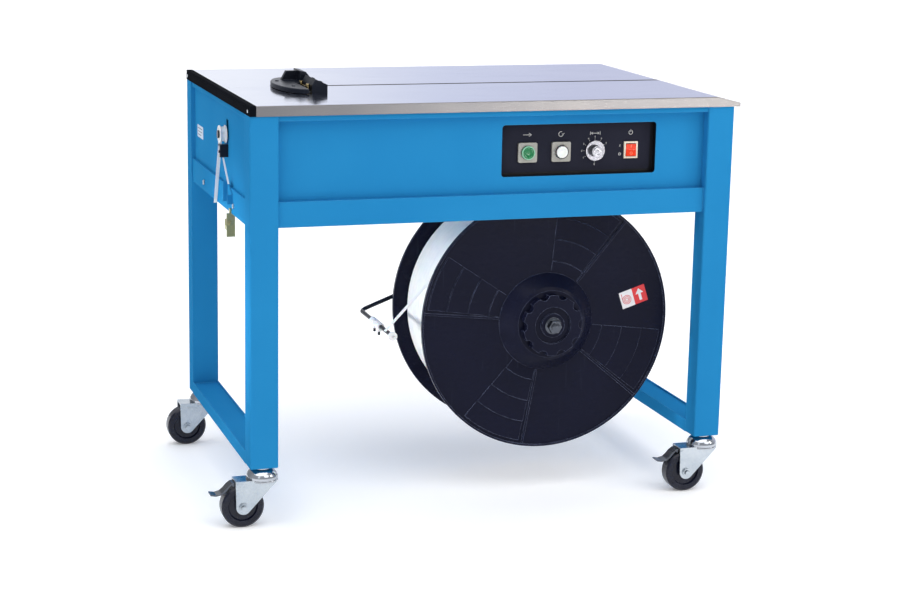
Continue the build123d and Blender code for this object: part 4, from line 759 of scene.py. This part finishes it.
RIM_PROFILE = (
    (10.2, 0.5),
    (10.4, 0.0),
    (10.9, -0.35),
    (11.5, -0.35),
    (12.0, 0.1),
    (12.25, 1.0),
    (12.25, 3.0),
    (10.2, 3.0),
)
DISH_PROFILE = (
    (0.01, -0.15),
    (3.0, -0.18),
    (6.0, -0.3),
    (6.6, -0.55),
    (8.6, -0.6),
    (9.4, -0.4),
    (9.9, 0.3),
    (0.01, 0.3),
)
KNOB_PROFILE = (
    (0.01, -0.9),
    (2.2, -0.95),
    (2.6, -0.75),
    (5.4, -0.8),
    (6.0, -1.0),
    (7.6, -0.9),
    (8.6, -0.5),
    (8.9, 0.2),
    (0.01, 0.2),
)


def button_ring(name, cap, slot, look):
    """Thin coloured ring let into a cap's rim."""
    ring = Piece()
    ring.lathe(ring_profile(RIM_PROFILE), face_centre(cap), Y, 72)
    ring.done(name, cap, slot, look)


def button_face(name, cap, slot):
    """Slightly dished face of a cap, with a fine centre ring."""
    face = Piece()
    face.lathe(scaled(DISH_PROFILE), face_centre(cap), Y, 72)
    face.done(name, cap, slot)


def knob_details():
    """Bright end cap and white pointer of the length knob."""
    face = face_centre("length_knob")
    cap = Piece()
    cap.lathe(scaled(KNOB_PROFILE), face, Y, 64)
    cap.done("knob_cap", "length_knob", "knob_metal", "knob_bright")
    pointer = Piece()
    pointer.print_place = (face + Y * 11.0 * MM, X, Z)
    pointer.stroke(scaled([(0, 11.6), (0, 17.0)]), 1.1 * MM, 0.2 * MM)
    pointer.done("knob_pointer", "length_knob", "white_cap", "print_white")


def rocker_marks():
    """The two generic switch marks, a line and a ring, on the rocker's halves."""
    face = face_centre("power_rocker")
    marks = Piece()
    marks.print_place = (face + Vector((0, 1.85, 6.2)) * MM, X, Z)
    marks.stroke(scaled([(0, -2.4), (0, 2.4)]), 1.0 * MM, 0.35 * MM)
    lower_half_up = Vector((0, 2.0, 10.7)).normalized()
    marks.print_place = (face + Vector((0, 1.0, -5.8)) * MM, X, lower_half_up)
    marks.stroke(scaled(arc(2.2, 0, 360, 24)[:-1]), 0.8 * MM, 0.4 * MM, closed=True)
    marks.done("rocker_marks", "power_rocker", "red_rocker", "print_faint")


panel_plate()
printed_panel()
button_ring("feed_ring", "feed_button", "green_cap", "pale_green")
button_ring("reset_ring", "reset_button", "white_cap", "dark_ring")
button_face("feed_face", "feed_button", "green_cap")
button_face("reset_face", "reset_button", "white_cap")
knob_details()
rocker_marks()

# ---------------------------------------------------------------- labels

reel_centre = middle("reel_rear_flange")
FLANGE_Y = -190.0 * MM
LABEL_TURN = math.radians(18)
LABEL_AT = (172.0 * MM, 37.0 * MM)
LABEL_THICK = 0.14 * MM
LABEL_INK = 0.06 * MM
LABEL_LINE = 1.1 * MM


def reel_label():
    """Two-tone direction label: coil rings on white, an arrow on red."""
    across = Vector((math.cos(LABEL_TURN), 0, math.sin(LABEL_TURN)))
    up = Vector((-math.sin(LABEL_TURN), 0, math.cos(LABEL_TURN)))
    centre = Vector((reel_centre.x + LABEL_AT[0], FLANGE_Y, reel_centre.z + LABEL_AT[1]))
    halves = (
        ("label_left", -13.0, "white_cap", "label_white"),
        ("label_right", 13.0, "red_rocker", "label_red"),
    )
    for name, shift, slot, look in halves:
        half = Piece()
        outline = scaled(rounded_outline(26.0, 32.0, 1.0, shift))
        half.prism(outline, centre, across, up, LABEL_THICK, 0.03 * MM)
        half.done(name, "reel", slot, look)
    face = centre - Y * LABEL_THICK
    rings = Piece()
    rings.print_place = (face, across, up)
    for radius in (3.0, 5.6, 8.2):
        ring = arc(radius, 0, 360, 32, (-13.5, -1))[:-1]
        rings.stroke(scaled(ring), LABEL_LINE, LABEL_INK, closed=True)
    rings.stroke(scaled([(-21.7, -1), (-21.7, 12)]), LABEL_LINE, LABEL_INK)
    rings.done("label_rings", "reel", "red_rocker", "label_red")
    arrow = Piece()
    outline = [(10.4, -11), (15.6, -11), (15.6, 2), (21, 2), (13, 12), (5, 2), (10.4, 2)]
    flat = [face + across * x + up * y for x, y in scaled(outline)]
    arrow.skin([flat, [point - Y * LABEL_INK for point in flat]])
    arrow.mesh.faces.new(list(arrow.mesh.verts)[len(flat):])
    arrow.done("label_arrow", "reel", "white_cap", "label_white")


SIDE_LABEL_AT = (188.0 * MM, 628.0 * MM)
SIDE_PLATE = 0.4 * MM


def side_label():
    """Plain plate with three ruled lines, on the left panel."""
    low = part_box("left_panel")[0]
    face = Vector((low.x, *SIDE_LABEL_AT))
    plate = Piece()
    plate.prism(scaled(rounded_outline(54.0, 23.0, 2.0)), face, -Y, Z, SIDE_PLATE, 0.15 * MM)
    plate.done("side_plate", "frame", "nylon_white", "label_blue")
    lines = Piece()
    lines.print_place = (face - X * SIDE_PLATE, -Y, Z)
    for z, end in ((6, 19), (0, 19), (-6, 8)):
        lines.stroke(scaled([(-20, z), (end, z)]), 1.2 * MM, 0.08 * MM)
    lines.done("side_plate_lines", "frame", "black_trim", "panel_dark")


reel_label()
side_label()

# ---------------------------------------------------------------- bolts, rings and welds


def hex_bolt(piece, seat, axis, across_flats, height):
    """Hexagon head with a chamfered, slightly rounded crown."""
    side, up = square_to(axis)
    corner = across_flats / math.sqrt(3)
    crown_corner = across_flats * 0.56
    rings = []
    for share, lift in ((1.0, 0.0), (1.0, 0.78), (0.9, 1.0), (0.5, 1.04)):
        ring = []
        for step in range(24):
            angle = 2 * math.pi * step / 24
            off_flat = (angle + math.pi / 6) % (math.pi / 3) - math.pi / 6
            flat = across_flats / 2 / math.cos(off_flat)
            radius = min(flat, corner) if share == 1 else min(flat, crown_corner) * share
            out = side * math.cos(angle) + up * math.sin(angle)
            ring.append(seat + axis * height * lift + out * radius)
        rings.append(ring)
    piece.skin(rings, capped=True)


def socket_screw(piece, seat, axis, radius, height):
    """Low round head with a socket."""
    shares = (
        (0.2, 0.0),
        (1.0, 0.0),
        (1.0, 0.7),
        (0.9, 1.0),
        (0.52, 1.0),
        (0.48, 0.85),
        (0.46, 0.25),
        (0.2, 0.2),
        (0.2, 0.0),
    )
    piece.lathe([(radius * across, height * up) for across, up in shares], seat, axis, 24)


SWIVEL_FROM_EDGE = 22.0 * MM
RACE_PROFILE = (
    (22.0, -0.2),
    (25.4, -0.2),
    (26.2, -1.4),
    (26.2, -3.2),
    (25.2, -4.4),
    (22.0, -4.4),
)
RIB_PLACES = (-7.0, -3.5, 0.0, 3.5, 7.0)
RIDGE_RADII = (28.0, 30.6, 33.2)
WHEEL_SIDE = 13.0


def axle_bolts(corner, wheel):
    """A bolt head and a nut on the fork's two cheeks."""
    low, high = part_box(f"caster_fork_{corner}")
    bolts = Piece()
    for side, face in ((-1, low.y), (1, high.y)):
        hex_bolt(bolts, Vector((wheel.x, face, wheel.z)), Y * side, 9.0 * MM, 1.1 * MM)
    bolts.done(f"axle_bolts_{corner}", f"caster_{corner}", "zinc")


def race_ring(corner):
    """Bright ring of the swivel race, on top of the fork."""
    low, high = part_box(f"caster_fork_{corner}")
    crown = Vector((high.x - SWIVEL_FROM_EDGE, (low.y + high.y) / 2, high.z))
    race = Piece()
    race.lathe(ring_profile(RACE_PROFILE), crown, Z, 72)
    race.done(f"race_ring_{corner}", f"caster_{corner}", "zinc", "chrome")


def tread_ribs(corner, wheel):
    """Mould ribs round the tread and round both sides of a wheel."""
    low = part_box(f"caster_wheel_{corner}")[0]
    radius = (wheel.z - low.z) / MM
    tread = Piece()
    for place in RIB_PLACES:
        rib = [
            (radius - 0.4, place - 0.9),
            (radius, place - 0.6),
            (radius, place + 0.6),
            (radius - 0.4, place + 0.9),
            (radius - 1.5, place + 0.9),
            (radius - 1.5, place - 0.9),
        ]
        tread.lathe(ring_profile(rib), wheel, Y, 96)
    for side in (-1, 1):
        under, over = side * (WHEEL_SIDE - 0.5), side * (WHEEL_SIDE + 0.35)
        for ring in RIDGE_RADII:
            ridge = [(ring - 0.9, under), (ring - 0.6, over), (ring + 0.6, over), (ring + 0.9, under)]
            tread.lathe(ring_profile(ridge), wheel, Y, 72)
    tread.done(f"tread_ribs_{corner}", f"wheel_{corner}", "caster_rubber")


for corner in ("front_left", "front_right", "rear_left", "rear_right"):
    wheel = middle(f"caster_wheel_{corner}")
    axle_bolts(corner, wheel)
    race_ring(corner)
    tread_ribs(corner, wheel)


WELD_STEP = 1.1 * MM


def weld(piece, start, end, size):
    """Rippled fillet weld between two points."""
    start = Vector(start)
    run = Vector(end) - start
    count = max(6, int(run.length / WELD_STEP))
    radii = []
    for step in range(count + 1):
        radii.append(size * (0.82 + 0.18 * math.cos(step * 2.1) + random.uniform(-0.05, 0.05)))
    radii[0] = radii[-1] = size * 0.5
    piece.bead(start, run, radii, 8)


WELD_SIZE = 1.5 * MM
TUBE = 50.0 * MM
TOP_WELD, TOP_GAP = 3.0 * MM, 4.0 * MM
UNDER_WELD, UNDER_GAP = 0.6 * MM, 6.0 * MM
RAIL_WELD_IN = 8.0 * MM
RAIL_WELD_Z = (529.0 * MM, 567.0 * MM)


def frame_welds():
    """Painted weld beads where the foot bars and the lower rails meet the legs."""
    beads = Piece()
    foot_low, foot_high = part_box("foot_bars")
    leg_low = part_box("front_legs")[0]
    top, under = foot_high.z - TOP_WELD, foot_low.z + UNDER_WELD
    for left, right in ((foot_low.x, foot_low.x + TUBE), (foot_high.x - TUBE, foot_high.x)):
        for y in (foot_low.y, -foot_low.y):
            weld(beads, (left + TOP_GAP, y, top), (right - TOP_GAP, y, top), WELD_SIZE)
            weld(beads, (left + UNDER_GAP, y, under), (right - UNDER_GAP, y, under), WELD_SIZE * 0.8)
    for x in (foot_low.x + TUBE, foot_high.x - TUBE):
        for y in (leg_low.y + RAIL_WELD_IN, -leg_low.y - RAIL_WELD_IN):
            weld(beads, (x, y, RAIL_WELD_Z[0]), (x, y, RAIL_WELD_Z[1]), WELD_SIZE * 0.7)
    beads.done("weld_beads", "frame", "blue_paint")


frame_welds()


COVER_TOP = 744.0 * MM
COVER_SCREWS = ((-292.0, -86.0), (-303.0, -4.0), (-282.0, 36.0))
BLOCK_SCREW_IN = Vector((10.0, 9.0, 5.6)) * MM
BLOCK_TOP_NORMAL = Vector((10, 0, 22)).normalized()


def head_screws():
    """Socket screws in the head block and the sliding cover."""
    low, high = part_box("head_block")
    fixed = Piece()
    for y in (low.y + BLOCK_SCREW_IN.y, high.y - BLOCK_SCREW_IN.y):
        seat = Vector((high.x - BLOCK_SCREW_IN.x, y, high.z - BLOCK_SCREW_IN.z))
        socket_screw(fixed, seat, BLOCK_TOP_NORMAL, 3.2 * MM, 1.2 * MM)
    fixed.done("head_block_screws", "frame", "black_steel")
    cover = Piece()
    for x, y in scaled(COVER_SCREWS):
        seat = Vector((x, y, COVER_TOP - 0.2 * MM))
        socket_screw(cover, seat, Z, 3.4 * MM, 1.5 * MM)
    cover.done("cover_screws", "slide_table", "black_steel")


head_screws()


WHEEL_FACE_Y = -230.3 * MM
NUT_CORNER = 12.95
WASHER_PROFILE = (
    (9.0, 0.0),
    (15.6, 0.0),
    (15.6, 0.8),
    (15.2, 1.1),
    (9.0, 1.1),
)
AXLE_PROFILE = (
    (8.3, 13.0),
    (8.3, 14.6),
    (8.05, 14.8),
    (8.3, 15.1),
    (8.3, 16.9),
    (7.5, 17.4),
    (0.01, 17.5),
    (0.01, 13.0),
)


def axle_nut():
    """Hexagon nut, washer and chamfered axle end in front of the handwheel."""
    seat = Vector((reel_centre.x, WHEEL_FACE_Y, reel_centre.z))
    nut = Piece()
    nut.lathe(ring_profile(WASHER_PROFILE), seat, -Y, 48)
    hexagon = arc(NUT_CORNER, 0, 300, 5)
    nut.prism(scaled(hexagon), seat - Y * 0.6 * MM, X, Z, 13.4 * MM, 1.0 * MM)
    nut.lathe(scaled(AXLE_PROFILE), seat, -Y, 48)
    nut.done("axle_nut", "frame", "plain_steel", "dark_steel")


axle_nut()

# ---------------------------------------------------------------- floor, light and camera


FLOOR_CENTRE, FLOOR_REACH = 0.4, 40.0
FLOOR_RINGS, FLOOR_SIDES = 24, 64
FLOOR_DROP = 0.4 * MM
FLOOR_GLOW = 0.17


def floor():
    """Wide pale floor with a faint unevenness."""
    mesh = bmesh.new()
    rows = []
    for ring in range(FLOOR_RINGS + 1):
        radius = FLOOR_CENTRE + FLOOR_REACH * (ring / FLOOR_RINGS) ** 2
        rows.append([mesh.verts.new(spot) for spot in circle(Vector(), X, Y, radius, FLOOR_SIDES)])
    for low, high in zip(rows, rows[1:]):
        for step in range(FLOOR_SIDES):
            after = (step + 1) % FLOOR_SIDES
            mesh.faces.new((low[step], high[step], high[after], low[after]))
    mesh.faces.new(rows[0])
    data = bpy.data.meshes.new("studio_floor")
    mesh.to_mesh(data)
    mesh.free()
    ground = bpy.data.objects.new("studio_floor", data)
    bpy.context.scene.collection.objects.link(ground)
    ground.location.z = -FLOOR_DROP
    look = Finish("pale_floor")
    soft = look.noise(3.0, 4.0)
    look.give(look.sockets["Base Color"], look.mix(soft, srgb(247, 247, 247), srgb(250, 250, 250)))
    look.give(look.sockets["Roughness"], look.remap(soft, 0.3, 0.7, 0.62, 0.74))
    look.sockets["Emission Color"].default_value = (1, 1, 1, 1)
    data.materials.append(look.done(Emission_Strength=FLOOR_GLOW))


floor()


# Surround colours by direction, from -1 at the far left to 1 at the far right.
SURROUND = (
    (-0.50, (0.28, 0.29, 0.31)),
    (-0.10, (0.34, 0.35, 0.37)),
    (0.08, (0.90, 0.91, 0.93)),
    (0.21, (0.83, 0.85, 0.89)),
    (0.30, (0.60, 0.63, 0.75)),
    (0.36, (0.54, 0.56, 0.69)),
    (0.60, (0.55, 0.57, 0.68)),
    (0.80, (0.68, 0.70, 0.82)),
)
FRONT_COLOUR = (0.40, 0.41, 0.43, 1)
FRONT_ENDS, BACK_STARTS = -0.15, 0.45
SURROUND_STRENGTH = 1.24


def world():
    """Studio surround: brightest just right of centre behind, and dim in front."""
    made = bpy.data.worlds.new("studio")
    bpy.context.scene.world = made
    made.use_nodes = True
    tree = made.node_tree
    place = tree.nodes.new("ShaderNodeTexCoord")
    parts = tree.nodes.new("ShaderNodeSeparateXYZ")
    tree.links.new(place.outputs["Generated"], parts.inputs[0])
    across = tree.nodes.new("ShaderNodeMapRange")
    across.inputs["From Min"].default_value = -1.0
    tree.links.new(parts.outputs["X"], across.inputs["Value"])
    ramp = tree.nodes.new("ShaderNodeValToRGB")
    tree.links.new(across.outputs["Result"], ramp.inputs[0])
    stops = ramp.color_ramp.elements
    stops.remove(stops[1])
    first, colour = SURROUND[0]
    stops[0].position = (first + 1) / 2
    stops[0].color = (*colour, 1)
    for direction, colour in SURROUND[1:]:
        stops.new((direction + 1) / 2).color = (*colour, 1)
    behind = tree.nodes.new("ShaderNodeMapRange")
    behind.inputs["From Min"].default_value = FRONT_ENDS
    behind.inputs["From Max"].default_value = BACK_STARTS
    tree.links.new(parts.outputs["Y"], behind.inputs["Value"])
    blend = tree.nodes.new("ShaderNodeMix")
    blend.data_type = "RGBA"
    tree.links.new(behind.outputs["Result"], blend.inputs[0])
    blend.inputs[6].default_value = FRONT_COLOUR
    tree.links.new(ramp.outputs[0], blend.inputs[7])
    tree.links.new(blend.outputs[2], tree.nodes["Background"].inputs["Color"])
    tree.nodes["Background"].inputs["Strength"].default_value = SURROUND_STRENGTH


world()


WHITE = (1, 1, 1)
WARM = (1.0, 0.97, 0.94)
SUNNY = (1.0, 0.985, 0.96)
COOL = (0.95, 0.97, 1.0)


def hang(name, light, place, target):
    """Put a light at a place, pointing at a target."""
    holder = bpy.data.objects.new(name, light)
    holder.location = place
    holder.rotation_euler = (Vector(target) - holder.location).to_track_quat("-Z", "Y").to_euler()
    bpy.context.scene.collection.objects.link(holder)


def lamp(name, kind, energy, colour, place, target, **fixed):
    """Make a light from its own settings and hang it."""
    light = bpy.data.lights.new(name, kind)
    light.energy = energy
    light.color = colour
    for setting, value in fixed.items():
        setattr(light, setting, value)
    hang(name, light, place, target)


def sun(name, strength, colour, place, target, spread):
    lamp(name, "SUN", strength, colour, place, target, angle=math.radians(spread))


def softbox(name, watts, colour, place, target, wide, tall):
    lamp(name, "AREA", watts, colour, place, target, shape="RECTANGLE", size=wide, size_y=tall)


def spot(name, watts, colour, place, target, cone, bulb):
    shape = {"spot_size": math.radians(cone), "spot_blend": 0.8, "shadow_soft_size": bulb}
    lamp(name, "SPOT", watts, colour, place, target, **shape)


sun("overhead", 1.75, WHITE, (-0.6, -0.5, 4.0), (0, 0, 0), 70)
sun("key", 0.45, SUNNY, (1.6, -3.4, 3.4), (0, 0, 0.4), 35)
softbox("softbox_right", 14.0, WARM, (2.7, -1.7, 1.7), (0.1, -0.2, 0.4), 0.8, 1.3)
softbox("softbox_left", 4.0, COOL, (-2.2, -2.9, 1.9), (0.1, -0.2, 0.35), 0.9, 1.6)
spot("edge_spot", 420.0, WARM, (2.5, -5.6, 0.35), (0.2, -0.29, 0.80), 5.2, 0.45)
spot("coil_spot", 640.0, WHITE, (-2.5, -0.12, 0.50), (-0.06, -0.1, 0.34), 7, 0.2)

bpy.context.scene.view_settings.view_transform = "Standard"

CAMERA_PLACE = (-1.139, -3.6066, 1.1640)
YAW, PITCH, ROLL = 18.013, 12.507, 1.125
LENS = 82.03
SENSOR = 36.0
SIGHT = 200.0


def set_camera():
    """Camera turned right by the yaw, down by the pitch and tipped by the roll."""
    data = bpy.data.cameras.new("camera")
    data.sensor_width = SENSOR
    data.lens = LENS
    data.clip_end = SIGHT
    camera = bpy.data.objects.new("camera", data)
    bpy.context.scene.collection.objects.link(camera)
    bpy.context.scene.camera = camera
    yaw, pitch, roll = (math.radians(angle) for angle in (YAW, PITCH, ROLL))
    level = Vector((math.sin(yaw), math.cos(yaw), 0))
    forward = level * math.cos(pitch) - Z * math.sin(pitch)
    right = Vector((math.cos(yaw), -math.sin(yaw), 0))
    up = right.cross(forward)
    tipped_right = right * math.cos(roll) + up * math.sin(roll)
    tipped_up = up * math.cos(roll) - right * math.sin(roll)
    turn = Matrix((tipped_right, tipped_up, -forward)).transposed().to_4x4()
    camera.matrix_world = Matrix.Translation(CAMERA_PLACE) @ turn


set_camera()
